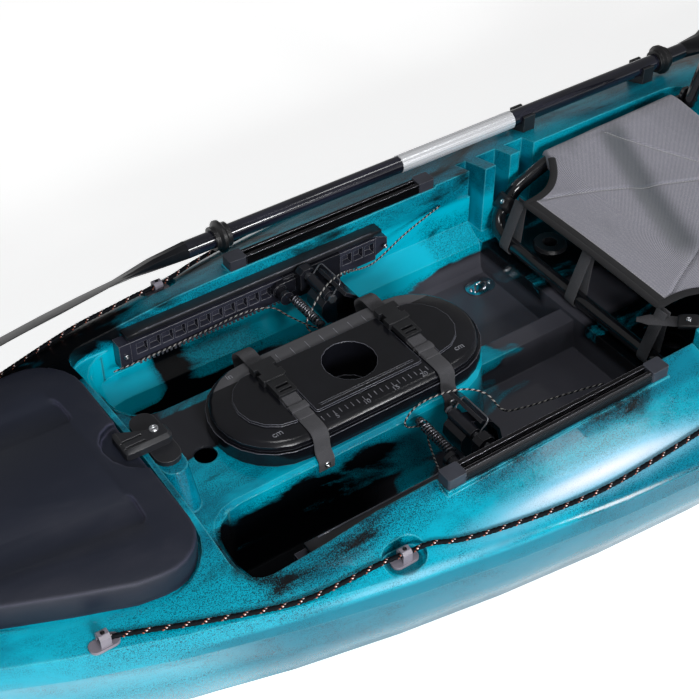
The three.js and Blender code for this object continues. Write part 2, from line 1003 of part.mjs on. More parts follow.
function hullSolid() {
  const pad = trackPad(deckEdgeZ, trackPadZ, 0);
  let shell = joined([hullLoft(0, hullStations), ...bothSides(pad)]);
  shell = shell.subtract(hullHollows(0)).subtract(hatchRecess());
  shell = joined([shell, latchBoss(), hatchCoaming()]);
  shell = shell.subtract(hatchHole());
  const frontHoleLow = ridgeTopZ - frontHoleDepth;
  shell = shell.subtract(drum(frontHoleRadius, frontHoleLow, ridgeTopZ + overrun, frontHoleX, frontHoleY));
  let inside = hullLoft(hullWall, innerStations).subtract(hullHollows(hullWall));
  const skinOutline = hatchOutline(hatchMargin + hullWall, 1);
  const deckSkin = onHatch(
    stacked([
      { z: -hullWall, points: skinOutline },
      { z: overrun, points: skinOutline },
    ]),
  );
  inside = inside.subtract(deckSkin);
  return shell.subtract(inside);
}

// Sections drawn in the plane across an axis, pushed along it

const acrossX = new THREE.Matrix4().set(0, 0, 1, 0, 1, 0, 0, 0, 0, 1, 0, 0, 0, 0, 0, 1);
const acrossY = new THREE.Matrix4().set(1, 0, 0, 0, 0, 0, 1, 0, 0, 1, 0, 0, 0, 0, 0, 1);

function anticlockwise(points) {
  return THREE.ShapeUtils.isClockWise(points) ? [...points].reverse() : points;
}

function pushed(section, low, high) {
  const points = anticlockwise(section);
  return stacked([
    { z: low, points },
    { z: high, points },
  ]);
}

// Section points are (y, z); the solid runs from low to high along X.
function alongX(section, low, high) {
  return pushed(section, low, high).transform(acrossX.toArray());
}

// Section points are (x, z); the solid runs from low to high along Y.
function alongY(section, low, high) {
  return pushed(section, low, high).transform(acrossY.toArray());
}

function outlineOf(pairs) {
  return pairs.map(([u, v]) => new THREE.Vector2(u, v));
}

function circle(radius, sides, u = 0, v = 0) {
  const points = [];
  for (let i = 0; i < sides; i += 1) {
    const angle = (2 * Math.PI * i) / sides;
    points.push(new THREE.Vector2(u + radius * Math.cos(angle), v + radius * Math.sin(angle)));
  }
  return points;
}

function arc(radius, from, to, u, v, steps) {
  const points = [];
  for (let i = 0; i <= steps; i += 1) {
    const angle = THREE.MathUtils.lerp(from, to, i / steps);
    points.push(new THREE.Vector2(u + radius * Math.cos(angle), v + radius * Math.sin(angle)));
  }
  return points;
}

function turned(profile, sides) {
  return stacked(profile.map(([radius, z]) => ({ z, points: circle(radius, sides) })));
}

// A strip of even thickness along a path in a plane.
function ribbon(path, thickness) {
  const points = outlineOf(path);
  const normals = points.map((point, i) => {
    const back = points[Math.max(i - 1, 0)];
    const ahead = points[Math.min(i + 1, points.length - 1)];
    const along = ahead.clone().sub(back).normalize();
    return new THREE.Vector2(-along.y, along.x);
  });
  const side = (offset) => points.map((point, i) => point.clone().addScaledVector(normals[i], offset));
  return [...side(thickness / 2), ...side(-thickness / 2).reverse()];
}

// Tubes

function bent(corners, radius, steps = bendSteps) {
  const points = [corners[0].clone()];
  for (let i = 1; i < corners.length - 1; i += 1) {
    const into = corners[i].clone().sub(corners[i - 1]).normalize();
    const out = corners[i + 1].clone().sub(corners[i]).normalize();
    const turn = into.angleTo(out);
    const start = corners[i].clone().addScaledVector(into, -radius * Math.tan(turn / 2));
    const side = out.clone().addScaledVector(into, -into.dot(out)).normalize();
    for (let k = 0; k <= steps; k += 1) {
      const angle = (turn * k) / steps;
      points.push(
        start
          .clone()
          .addScaledVector(into, radius * Math.sin(angle))
          .addScaledVector(side, radius * (1 - Math.cos(angle))),
      );
    }
  }
  points.push(corners[corners.length - 1].clone());
  return points;
}

function tube(points, radius, sides) {
  const last = points.length - 1;
  const tangents = points.map((point, i) =>
    points[Math.min(i + 1, last)].clone().sub(points[Math.max(i - 1, 0)]).normalize(),
  );
  const upright = Math.abs(tangents[0].z) > Math.SQRT1_2;
  let normal = upright ? new THREE.Vector3(1, 0, 0) : new THREE.Vector3(0, 0, 1);
  const vertices = [];
  points.forEach((point, i) => {
    normal = normal.clone().addScaledVector(tangents[i], -normal.dot(tangents[i])).normalize();
    const across = tangents[i].clone().cross(normal);
    circle(radius, sides).forEach(({ x, y }) => {
      vertices.push(point.clone().addScaledVector(normal, x).addScaledVector(across, y).toArray());
    });
  });
  const triangles = [];
  for (let i = 0; i < last; i += 1) {
    for (let k = 0; k < sides; k += 1) {
      const a = i * sides + k;
      const b = i * sides + ((k + 1) % sides);
      triangles.push([a, b, b + sides], [a, b + sides, a + sides]);
    }
  }
  for (let k = 1; k < sides - 1; k += 1) {
    triangles.push([0, k + 1, k], [last * sides, last * sides + k, last * sides + k + 1]);
  }
  return solidFrom(vertices, triangles);
}

function vector(x, y, z) {
  return new THREE.Vector3(x, y, z);
}

// Cords are even sections pushed along a smooth curve.
function cord(route, radius, sides, steps) {
  const path = new THREE.CatmullRomCurve3(route, false, 'centripetal');
  const section = new THREE.Shape(circle(radius, sides));
  return new THREE.ExtrudeGeometry(section, { steps, bevelEnabled: false, extrudePath: path });
}

// Hatch cover

function onCover(levels) {
  return onHatch(stacked(levels));
}

function coverPlate(inset, low, high) {
  return onCover([
    { z: low, points: hatchOutline(-inset) },
    { z: high, points: hatchOutline(-inset) },
  ]);
}

function coverGroove() {
  const top = coverHeight + coverCrown;
  const outline = (share) => {
    const width = coverGrooveHalfWidth * share;
    return rounded([
      [coverGrooveFrontX, -width, width * halfShare],
      [coverGrooveFrontX, width, width * halfShare],
      [coverGrooveRearX, width, width * halfShare],
      [coverGrooveRearX, -width, width * halfShare],
    ]);
  };
  const lean = Math.atan2(coverGrooveY - hatchFrontHalfWidth(), coverGrooveFrontX - coverGrooveRearX);
  const cut = stacked([
    { z: top - coverGrooveDepth, points: outline(coverGrooveBottomShare) },
    { z: top, points: outline(1) },
    { z: top + coverGrooveDepth, points: outline(1) },
  ]);
  const middle = (coverGrooveFrontX + coverGrooveRearX) / 2;
  const turnedCut = cut.translate([-middle, 0, 0]).rotate([0, 0, (-lean * 180) / Math.PI]);
  return onHatch(turnedCut.translate([middle, coverGrooveY - middleInset(lean), 0]));
}

function hatchFrontHalfWidth() {
  return halfBeamAt(hatchFrontX) - hatchDeckInset;
}

function middleInset(lean) {
  return ((coverGrooveFrontX - coverGrooveRearX) / 2) * Math.sin(lean);
}

function hatchCover() {
  const low = seatGap;
  const crownTop = coverHeight + coverCrown;
  let cover = onCover([
    { z: low, points: hatchOutline(0) },
    { z: coverRim, points: hatchOutline(0) },
    { z: coverHeight - coverLip, points: hatchOutline(-coverLip) },
    { z: coverHeight, points: hatchOutline(-coverEdge) },
    { z: crownTop, points: hatchOutline(-coverCrownInset) },
  ]);
  const rearKeep = boxSolid(
    [hatchRearX - overrun, -halfBeam, hatchSeatZ - overrun],
    [coverPocketRearX, halfBeam, hatchSeatZ + coverHeight + overrun],
  );
  const shallow = coverPlate(coverSkirt, -overrun, coverNotchFloor - coverSkin);
  const deep = coverPlate(coverPocketInset, 0, coverHeight - coverSkin).subtract(rearKeep);
  const notch = onHatch(
    drum(coverNotchRadius, coverNotchFloor, crownTop + overrun, coverNotchX, coverNotchY, roundSides),
  );
  cover = cover.subtract(shallow).subtract(deep).subtract(notch);
  bothSides(coverGroove()).forEach((groove) => {
    cover = cover.subtract(groove);
  });
  const knuckle = alongY(
    [
      ...arc(hingeKnuckleRadius, -Math.PI / 2, Math.PI / 2, hingeX, hingeZ, knuckleSides / 2),
      new THREE.Vector2(hatchFrontX - coverSkirt / 2, hingeZ + hingeKnuckleRadius),
      new THREE.Vector2(hatchFrontX - coverSkirt / 2, hingeZ - hingeKnuckleRadius),
    ],
    hingeMiddleHalfWidth + seatGap,
    hingeHalfWidth - hingePinRadius,
  );
  const bore = alongY(circle(hingePinRadius + seatGap, knuckleSides, hingeX, hingeZ), -hingeHalfWidth, hingeHalfWidth);
  return joined([cover, ...bothSides(knuckle)]).subtract(bore);
}

function hatchHinge() {
  const leg = alongY(
    [
      ...arc(hingeKnuckleRadius, 0, Math.PI, hingeX, hingeZ, knuckleSides / 2),
      new THREE.Vector2(hingeX - hingeLegHalfLength, hingeNotchFloorZ + seatGap),
      new THREE.Vector2(hingeX + hingeLegHalfLength, hingeNotchFloorZ + seatGap),
    ],
    -hingeMiddleHalfWidth,
    hingeMiddleHalfWidth,
  );
  const pin = alongY(circle(hingePinRadius, knuckleSides, hingeX, hingeZ), -hingeHalfWidth, hingeHalfWidth);
  return leg.add(pin);
}

// Latch

function latchPlate() {
  const outline = stadium(0, latchPlateHalfLength, latchBossHalfWidth);
  const low = latchBossTopZ + seatGap;
  return prism(outline, low, low + latchPlateHeight).rotate([0, 0, 90]).translate([latchX, latchY, 0]);
}

function latchLever() {
  const outline = (inset) =>
    rounded(
      [
        [latchX - latchBossHalfWidth, -leverHubHalfWidth, leverHubHalfWidth / 2],
        [latchX + latchBossHalfWidth / 2, -leverHubHalfWidth, 0],
        [leverTipX, leverSkew - leverTipHalfWidth, leverBevel],
        [leverTipX, leverSkew + leverTipHalfWidth, leverBevel],
        [latchX + latchBossHalfWidth / 2, leverHubHalfWidth, 0],
        [latchX - latchBossHalfWidth, leverHubHalfWidth, leverHubHalfWidth / 2],
      ],
      -inset,
    );
  const low = latchBossTopZ + latchPlateHeight + 2 * seatGap;
  let lever = stacked([
    { z: low, points: outline(0) },
    { z: low + leverHeight - leverBevel, points: outline(0) },
    { z: low + leverHeight, points: outline(leverBevel) },
  ]);
  [-leverGrooveWidth * 2, leverGrooveWidth].forEach((y) => {
    const groove = boxSolid(
      [latchX + latchBossHalfWidth, y, low + leverHeight - leverGrooveDepth],
      [leverTipX + overrun, y + leverGrooveWidth, low + leverHeight + overrun],
    );
    lever = lever.subtract(groove);
  });
  return lever;
}

// Console

function podBox() {
  const tub = stadium(podX, podHalfLength - podTubInset, podTubHalfWidth);
  const flange = stadium(podX, podHalfLength, podFlangeHalfWidth);
  const flangeLow = flangeLipZ + seatGap;
  const groove = prism(flange, flangeLow - overrun, podFlangeZ - flangeTop, -flangeSkirt);
  const rim = prism(flange, flangeLow, podFlangeZ).subtract(groove);
  const outside = rim.add(prism(tub, podFloorZ, podFlangeZ));
  return outside.subtract(prism(tub, podFloorZ + podWall, podFlangeZ + overrun, -podWall));
}

function podLid() {
  const outline = (inset) => rounded(stadium(podX, podHalfLength, podFlangeHalfWidth), -inset);
  const low = podFlangeZ + seatGap;
  let lid = stacked([
    { z: low, points: outline(lidInset) },
    { z: low + lidBandHeight, points: outline(lidInset) },
    { z: lidFieldZ - lidBevel / 2, points: outline(lidInset + lidBevel) },
    { z: lidFieldZ, points: outline(lidInset + 2 * lidBevel) },
  ]);
  const pocket = stacked([
    { z: low - overrun, points: outline(lidInset + lidRim) },
    { z: lidFieldZ - lidSkin, points: outline(lidInset + lidRim) },
  ]);
  const centre = [
    [panelFrontX, panelStarboardY, panelHeight],
    [panelFrontX, panelPortY, panelHeight],
    [panelRearX, panelPortY, panelHeight],
    [panelRearX, panelStarboardY, panelHeight],
  ];
  const panelLow = lidFieldZ - lidSkin / 2;
  const panels = [prism(centre, panelLow, lidFieldZ + panelHeight)];
  endPanelXs.forEach((x) => {
    const reach = x > podX ? endPanelRadius : -endPanelRadius;
    const half = [
      [x, -endPanelRadius, 0],
      [x + reach, -endPanelRadius, endPanelRadius - endFlat],
      [x + reach, endPanelRadius, endPanelRadius - endFlat],
      [x, endPanelRadius, 0],
    ];
    panels.push(prism(reach > 0 ? half : [...half].reverse(), panelLow, lidFieldZ + panelHeight));
  });
  const cup = drum(cupRadius + cupWall, cupFloorZ, lidFieldZ, cupX, 0, roundSides);
  const bore = drum(cupRadius, cupFloorZ + cupWall, lidFieldZ + overrun, cupX, 0, roundSides);
  lid = lid.subtract(pocket);
  return joined([lid, ...panels, cup]).subtract(bore);
}

function podStrap(x) {
  const flange = podFlangeHalfWidth + strapThickness / 2 + seatGap;
  const wall = ridgeHalfWidth + strapThickness;
  const top = lidFieldZ + strapThickness / 2 + seatGap;
  const edge = podFlangeZ + lidBandHeight + strapThickness / 2;
  const port = [
    [wall, strapEndZ],
    [wall - strapThickness / 4, flangeLipZ - strapThickness],
    [flange + strapThickness / 2, flangeLipZ + 4 * strapThickness],
    [flange, podFlangeZ],
    [flange - 1.4 * strapThickness, edge + strapThickness / 4],
    [flange - 3.9 * strapThickness, top - 0.75 * strapThickness],
    [podFlangeHalfWidth - lidInset - 2 * lidBevel, top],
  ];
  const starboard = [
    [-(podFlangeHalfWidth - lidInset - 3 * strapThickness), top],
    [-(flange + strapThickness), top + strapThickness / 2],
    [-(flange + 8 * strapThickness), top - 3 * strapThickness],
    [-(flange + 11 * strapThickness), podFlangeZ],
    [-(flange + 9 * strapThickness), flangeLipZ + 6 * strapThickness],
    [-(wall + strapThickness), flangeLipZ + strapThickness / 2],
    [-wall, strapEndZ],
  ];
  return alongX(ribbon([...port, ...starboard], strapThickness), x - strapWidth / 2, x + strapWidth / 2);
}

function podBuckle(x) {
  const low = lidFieldZ + panelHeight + seatGap;
  const high = low + buckleHeight;
  const block = (half, rear, front, top) =>
    prism(
      [
        [x + half, rear, strapThickness],
        [x + half, front, strapThickness],
        [x - half, front, strapThickness],
        [x - half, rear, strapThickness],
      ],
      low,
      top,
    );
  const socket = block(buckleHalfWidth, buckleFrontY, buckleJoinY, high);
  const tongue = block(buckleTongueHalfWidth, buckleJoinY - buckleBar, buckleRearY, high - strapThickness);
  const windowMiddle = (buckleFrontY + buckleJoinY) / 2;
  const windows = [-1, 1].map((side) =>
    boxSolid(
      [x + side * buckleHalfWidth - buckleWindow, windowMiddle - buckleWindow, low - overrun],
      [x + side * buckleHalfWidth + buckleWindow, windowMiddle + buckleWindow, high + overrun],
    ),
  );
  const slots = [2, 4].map((count) => {
    const rear = buckleRearY - count * buckleBar;
    return boxSolid(
      [x - buckleTongueHalfWidth + buckleBar, rear, low - overrun],
      [x + buckleTongueHalfWidth - buckleBar, rear + buckleBar, high + overrun],
    );
  });
  return socket.add(tongue).subtract(joined([...windows, ...slots]));
}

// Gear tracks, port side

function gearTrack() {
  const y = trackInnerY;
  const z = trackPadZ + seatGap;
  const middle = y + slotCentre;
  const section = [
    [y, z],
    [y + trackWidth, z],
    [y + trackWidth, z + trackBevelZ],
    [y + trackWidth - trackBevel, z + trackHeight],
    [middle + slotHalfWidth, z + trackHeight],
    [middle + slotHalfWidth, z + slotNeckZ],
    [middle + slotInnerHalfWidth, z + slotNeckZ],
    [middle + slotInnerHalfWidth, z + slotLowZ],
    [middle - slotInnerHalfWidth, z + slotLowZ],
    [middle - slotInnerHalfWidth, z + slotNeckZ],
    [middle - slotHalfWidth, z + slotNeckZ],
    [middle - slotHalfWidth, z + trackHeight],
    [y, z + trackHeight],
  ];
  const inset = trackCapLength + trackCapExtra + seatGap;
  return alongX(outlineOf(section), trackRearX + inset, trackFrontX - inset);
}

function trackCap(rear) {
  const low = trackPadZ + seatGap;
  return prism(
    [
      [rear + trackCapLength, trackInnerY, trackCapExtra],
      [rear + trackCapLength, trackInnerY + trackWidth, trackCapExtra],
      [rear, trackInnerY + trackWidth, trackCapExtra],
      [rear, trackInnerY, trackCapExtra],
    ],
    low,
    low + trackHeight + trackCapExtra,
    trackCapExtra,
  );
}

// Foot rails, port side

const railOuterY = cockpitHalfWidth - seatGap;
const railInnerY = railOuterY - railDepth;

function footRail() {
  let rail = boxSolid([railRearX, railInnerY, railLowZ], [railFrontX, railOuterY, railTopZ]);
  const count = Math.floor((railFrontX - railRearX - railBar) / railPitch);
  for (let i = 0; i < count; i += 1) {
    const rear = railRearX + railBar + i * railPitch;
    const cell = boxSolid(
      [rear, railInnerY - overrun, railCellLowZ],
      [rear + railPitch - railBar, railInnerY + railCellDepth, railCellTopZ],
    );
    rail = rail.subtract(cell);
  }
  const cap = alongX(
    outlineOf([
      [railInnerY - railCapExtra, railLowZ + railCapExtra],
      [railInnerY, railLowZ - railCapExtra],
      [railOuterY, railLowZ - railCapExtra],
      [railOuterY, railTopZ + railCapExtra],
      [railInnerY - railCapExtra, railTopZ + railCapExtra],
    ]),
    railFrontX,
    railFrontX + railCapLength,
  );
  const lug = alongY(
    outlineOf([
      [railRearX, railLowZ],
      [railRearX, railTopZ],
      [railRearX - railLugLength, railTopZ - 2 * railLugInset],
      [railRearX - railLugLength, railLowZ + 2 * railLugInset],
    ]),
    railInnerY + railLugInset,
    railOuterY,
  );
  return joined([rail, cap, lug]);
}

// Pedal carriages, port side

function rod(radius, inner, outer, x, z, sides) {
  return alongY(circle(radius, sides, x, z), inner, outer);
}

function carriage() {
  const faceY = railInnerY - seatGap;
  const plateY = faceY - sleeveWall;
  const lipY = faceY + sleeveLip;
  const high = railTopZ + seatGap;
  const low = railLowZ - seatGap;
  const sleeve = alongX(
    outlineOf([
      [lipY, high + sleeveWall],
      [plateY, high + sleeveWall],
      [plateY, low - sleeveWall],
      [lipY, low - sleeveWall],
      [lipY, low],
      [faceY, low],
      [faceY, high],
      [lipY, high],
    ]),
    sleeveRearX,
    sleeveFrontX,
  );
  const arm = boxSolid(
    [armRearX, armInnerY, drumZ - armHalfHeight],
    [drumX, plateY + sleeveWall / 2, drumZ + armHalfHeight],
  );
  const bracket = alongY(
    outlineOf([
      [pivotX - bracketHalfLength, bracketLowZ],
      [pivotX + bracketHalfLength, bracketLowZ],
      [pivotX + bracketHalfLength, bracketTopZ - bracketHalfLength / 2],
      [pivotX + bracketHalfLength / 2, bracketTopZ],
      [pivotX - bracketHalfLength / 2, bracketTopZ],
      [pivotX - bracketHalfLength, bracketTopZ - bracketHalfLength / 2],
    ]),
    bracketInnerY,
    bracketOuterY,
  );
  const foot = boxSolid(
    [pivotX - bracketHalfLength, bracketOuterY - sleeveWall, bracketLowZ],
    [pivotX + bracketHalfLength, plateY + sleeveWall / 2, high + sleeveWall],
  );
  const windings = rod(drumRadius, drumInnerY, drumOuterY, drumX, drumZ, roundSides);
  const grooveInner = drumInnerY + drumRim;
  const groove = rod(drumRadius + overrun, grooveInner, drumOuterY - drumRim, drumX, drumZ, roundSides).subtract(
    rod(drumRadius - drumGroove, 0, halfBeam, drumX, drumZ, roundSides),
  );
  const reel = windings.subtract(groove);
  const springRod = rod(rodRadius, rodTipInnerY, drumInnerY + rodTipLength, rodX, drumZ, knuckleSides);
  const tip = turned(
    [
      [rodTipRadius * rodTipShares[0], 0],
      [rodTipRadius, rodTipLength * rodTipShares[1]],
      [rodTipRadius, rodTipLength],
    ],
    knuckleSides,
  )
    .rotate([-90, 0, 0])
    .translate([rodX, rodTipInnerY, drumZ]);
  const bore = rod(pivotRadius + seatGap, 0, plateY, pivotX, pivotZ, knuckleSides);
  return joined([sleeve, arm, bracket, foot, reel, springRod, tip]).subtract(bore);
}

function pedalSpring() {
  const start = rodTipInnerY + rodTipLength + seatGap + springWire;
  const end = drumInnerY - seatGap - springWire;
  const count = springTurns * springSteps;
  const points = [];
  for (let i = 0; i <= count; i += 1) {
    const angle = (2 * Math.PI * i) / springSteps;
    points.push(
      vector(
        rodX + springRadius * Math.cos(angle),
        THREE.MathUtils.lerp(start, end, i / count),
        drumZ + springRadius * Math.sin(angle),
      ),
    );
  }
  return { solid: tube(points, springWire, springSides), points };
}

function leastSelfGap(points, apart, radius) {
  let least = Infinity;
  points.forEach((point, i) => {
    for (let k = i + apart; k < points.length; k += 1) {
      least = Math.min(least, point.distanceTo(points[k]));
    }
  });
  return least - 2 * radius;
}

function bail(grow) {
  const [reachX, reachZ] = bailReach;
  const corners = [
    vector(pivotX, bailInnerY, pivotZ),
    vector(pivotX + reachX, bailInnerY, pivotZ + reachZ),
    vector(pivotX + reachX, bailOuterY, pivotZ + reachZ),
    vector(pivotX, bailOuterY, pivotZ),
  ];
  return tube(bent(corners, bailBend), bailWire + grow, wireSides);
}

function pedalShaft() {
  const shaft = rod(pivotRadius, pivotInnerY, pivotOuterY, pivotX, pivotZ, knuckleSides);
  const nuts = [pivotInnerY, bracketInnerY - pivotNutLength - seatGap].map((y) =>
    rod(pivotNutRadius, y, y + pivotNutLength, pivotX, pivotZ, wireSides),
  );
  return joined([shaft, ...nuts, bail(0)]);
}

function pedal() {
  const about = (pairs) => pairs.map(([x, z]) => [pivotX + x, pivotZ + z]);
  const plate = alongY(ribbon(about(pedalSpine), pedalThickness), pedalInnerY, pedalOuterY);
  const web = alongY(outlineOf(about(pedalWeb)), pedalWebInnerY, pedalWebOuterY);
  const flank = alongY(outlineOf(about(pedalFlank)), flankInnerY, flankOuterY);
  const hub = rod(hubRadius, hubInnerY + 2 * bailWire, hubOuterY - 2 * bailWire, pivotX, pivotZ, roundSides);
  const bore = rod(pivotRadius + seatGap, 0, halfBeam, pivotX, pivotZ, knuckleSides);
  return joined([plate, web, flank, hub]).subtract(bore).subtract(bail(seatGap));
}

// Deck and steering lines

// The rope lies on the deck, and rises into the hole of each padeye that it comes to.
function ropeZ(x, y) {
  const holeRise = (padeyeHoleLowZ + padeyeHoleTopZ) / 2;
  const near = padeyePlaces.find(([place]) => Math.abs(x - place) <= padeyeHalfLength);
  if (!near) return deckAt(x, y) + ropeHugging;
  return near === padeyePlaces[1] ? padeyeRecessZ + holeRise : deckAt(...near) + holeRise;
}

function deckLineRoute(side) {
  return ropePlaces.map(([x, y]) => vector(x, side * y, ropeZ(x, y)));
}

function steeringLineRoute(start, side) {
  return [...start, ...lineRoute].map(([x, y, z]) => vector(x, side * y, z));
}

function padeye(floor) {
  const base = prism(stadium(0, padeyeHalfLength, padeyeHalfWidth), floor, floor + padeyeBase);
  const half = padeyeArchHalfWidth;
  const top = floor + padeyeArchHeight;
  const arch = alongX(
    outlineOf([
      [half, floor],
      [half, top - half / 2],
      [half / 2, top],
      [-half / 2, top],
      [-half, top - half / 2],
      [-half, floor],
    ]),
    -padeyeArchHalfLength,
    padeyeArchHalfLength,
  );
  const hole = boxSolid(
    [-overrun, -padeyeHoleHalfWidth, floor + padeyeHoleLowZ],
    [overrun, padeyeHoleHalfWidth, floor + padeyeHoleTopZ],
  );
  return base.add(arch).subtract(hole);
}

function padeyeRecess(grow) {
  const [x, y] = padeyePlaces[1];
  const outline = stadium(x, padeyeRecessHalfLength, padeyeRecessHalfWidth);
  return prism(outline, padeyeRecessZ - grow, padeyeRecessZ + 2 * overrun, grow).translate([0, y, 0]);
}

function floorPadeye() {
  const low = floorZ + seatGap;
  const plate = prism(stadium(0, floorPadeyeHalfLength, floorPadeyeHalfWidth), low, low + floorPadeyePlate);
  const half = floorPadeyeLoop;
  const foot = low + floorPadeyePlate / 2;
  const corners = [
    vector(-half, 0, foot),
    vector(-half, 0, foot + half),
    vector(half, 0, foot + half),
    vector(half, 0, foot),
  ];
  const loop = tube(bent(corners, half / 2), floorPadeyeWire, ropeSides);
  return plate.add(loop).translate([floorPadeyeX, floorPadeyeY, 0]);
}

function drainRing() {
  const low = platformZ + seatGap;
  const inner = scupperRadius - seatGap;
  const ring = turned(
    [
      [inner, low - drainDepth],
      [inner, low],
      [drainFlangeRadius, low],
      [drainFlangeRadius - drainFlangeHeight / 2, low + drainFlangeHeight],
    ],
    roundSides,
  );
  const bore = drum(drainBoreRadius, 0, low + overrun, 0, 0, knuckleSides);
  return ring.subtract(bore).translate([scupperX, -scupperY, 0]);
}

// Fittings that follow the deck are cut to it, a gap clear of the hull's skin.

const hullSkin = hullLoft(-seatGap, hullStations);

function onDeck(solid) {
  return solid.subtract(hullSkin);
}

function carryHandle(x) {
  const deck = (place) => deckAt(place, 0);
  const rear = x - handleHalfSpan;
  const front = x + handleHalfSpan;
  const corners = [
    vector(rear, 0, deck(rear) - handleRadius),
    vector(rear + handleBend / 2, 0, deck(rear) + handleRise),
    vector(front - handleBend / 2, 0, deck(front) + handleRise),
    vector(front, 0, deck(front) - handleRadius),
  ];
  return onDeck(tube(bent(corners, handleBend), handleRadius, ropeSides));
}

function paddleClip(x) {
  const reach = paddleRadius + seatGap;
  const low = deckAt(x, paddleY) - clipBase * 2;
  const outer = reach + clipWall;
  const section = [
    [outer, low],
    [outer, paddleZ + reach / 2],
    [reach, paddleZ + reach / 2],
    [reach, paddleZ],
  ];
  for (let k = 1; k < knuckleSides / 2; k += 1) {
    const angle = (2 * Math.PI * k) / knuckleSides;
    section.push([reach * Math.cos(angle), paddleZ - reach * Math.sin(angle)]);
  }
  section.push([-reach, paddleZ], [-reach, paddleZ + reach / 2], [-outer, paddleZ + reach / 2], [-outer, low]);
  const clip = alongX(outlineOf(section), x - clipHalfLength, x + clipHalfLength);
  return onDeck(clip.translate([0, paddleY, 0]));
}

// Seat

function seatFrame() {
  const half = seatTubeHalfWidth;
  const side = (y) => [
    vector(seatRearX, y, seatRearZ),
    vector(seatKneeX, y, seatKneeZ),
    vector(seatShoulderX, y, seatShoulderZ),
    vector(seatFrontX, y, seatTubeZ),
  ];
  const main = tube(bent([...side(half), ...side(-half).reverse()], seatBend), seatTubeRadius, tubeSides);
  const legZ = platformZ + seatTubeRadius + seatGap;
  const legTop = THREE.MathUtils.mapLinear(seatLegX, seatRearX, seatKneeX, seatRearZ, seatKneeZ);
  const leg = bent(
    [
      vector(seatLegX, half, legTop),
      vector(seatLegX, half, legZ),
      vector(seatLegX, -half, legZ),
      vector(seatLegX, -half, legTop),
    ],
    seatBend,
  );
  const earY = backTail(1).y + backTubeRadius + seatGap;
  const ears = bothSides(
    alongY(
      outlineOf([
        [backPivotX - seatTubeRadius, seatRearZ],
        [backPivotX + seatTubeRadius, seatRearZ],
        [backPivotX + seatTubeRadius, backPivotZ],
        [backPivotX + seatTubeRadius / 2, backPivotZ + seatTubeRadius],
        [backPivotX - seatTubeRadius / 2, backPivotZ + seatTubeRadius],
        [backPivotX - seatTubeRadius, backPivotZ],
      ]),
      earY,
      earY + seatTubeRadius / 2,
    ),
  );
  const pinInner = earY - 2 * backTubeRadius - backPinRadius;
  const pins = bothSides(rod(backPinRadius, pinInner, earY + seatTubeRadius, backPivotX, backPivotZ, knuckleSides));
  return joined([main, tube(leg, seatTubeRadius, tubeSides), ...ears, ...pins]);
}

function clothTopAt(station, index) {
  const x = clothStations[station];
  const share = clothShares[index];
  const tubeTop = THREE.MathUtils.mapLinear(x, seatRearX, seatKneeX, seatRearZ, seatKneeZ) + seatTubeRadius;
  const seatTop = tubeTop + 2 * seatGap + clothThickness;
  const reach = THREE.MathUtils.smoothstep(-x, -clothStations[0], -clothStations[clothWrapStation]);
  const edge = THREE.MathUtils.lerp(clothFrontZ + clothThickness, seatTop, reach);
  const inner = Math.max(1 - (share / clothShares[3]) ** 2, 0);
  const drop = station < clothWrapStation ? 0 : clothDropShares[index] * seatTubeRadius;
  return edge + (clothRise * (1 - reach) - clothSag * reach) * inner - drop;
}

// A thin sheet between two grids of points, wider ones listed by rows.
function sheet(rows, thickness, up) {
  const across = rows[0].length;
  const top = rows.flat();
  const bottom = top.map((point) => point.clone().addScaledVector(up, -thickness));
  const vertices = [...top, ...bottom].map((point) => point.toArray());
  const triangles = [];
  const quad = (a, b, c, d) => triangles.push([a, b, c], [a, c, d]);
  const lower = top.length;
  for (let r = 0; r < rows.length - 1; r += 1) {
    for (let k = 0; k < across - 1; k += 1) {
      const a = r * across + k;
      quad(a, a + across, a + across + 1, a + 1);
      quad(lower + a, lower + a + 1, lower + a + across + 1, lower + a + across);
    }
    const left = r * across;
    const right = left + across - 1;
    quad(left, lower + left, lower + left + across, left + across);
    quad(right, right + across, lower + right + across, lower + right);
  }
  const lastRow = (rows.length - 1) * across;
  for (let k = 0; k < across - 1; k += 1) {
    quad(k, k + 1, lower + k + 1, lower + k);
    quad(lastRow + k, lower + lastRow + k, lower + lastRow + k + 1, lastRow + k + 1);
  }
  return solidFrom(vertices, triangles);
}

function mirroredShares(shares) {
  return [...shares.slice(1).reverse().map((share) => -share), ...shares];
}

function seatCloth() {
  const rows = clothStations.map((x, i) =>
    mirroredShares(clothShares).map((share) =>
      vector(x, share * clothHalfWidths[i], clothTopAt(i, clothShares.indexOf(Math.abs(share)))),
    ),
  );
  return sheet(rows.reverse(), clothThickness, vector(0, 0, 1));
}

function seatLoop(y) {
  const inner = seatTubeRadius + seatGap;
  const outline = (radius, rise) => {
    const points = [];
    for (let k = 0; k <= loopArcSteps; k += 1) {
      const angle = THREE.MathUtils.lerp(-loopArc, loopArc, k / loopArcSteps) - Math.PI / 2 + loopLean;
      points.push(new THREE.Vector2(seatFrontX + radius * Math.cos(angle), seatTubeZ + radius * Math.sin(angle)));
    }
    points.push(new THREE.Vector2(loopTopX + radius - inner + loopThickness, loopTopZ + rise));
    points.push(new THREE.Vector2(loopTopX - radius + inner - loopThickness, loopTopZ + rise));
    return points;
  };
  const outer = alongY(outline(inner + loopThickness, loopThickness), y - loopWidth / 2, y + loopWidth / 2);
  return outer.subtract(alongY(outline(inner, 0), y - loopWidth, y + loopWidth));
}

function backPlace(share, side) {
  const lean = THREE.MathUtils.degToRad(backLeanDegrees);
  const along = backHeight * share;
  const width = THREE.MathUtils.lerp(backHalfWidth, backTopHalfWidth, share);
  return vector(backPivotX - along * Math.cos(lean), side * width, backPivotZ + along * Math.sin(lean));
}

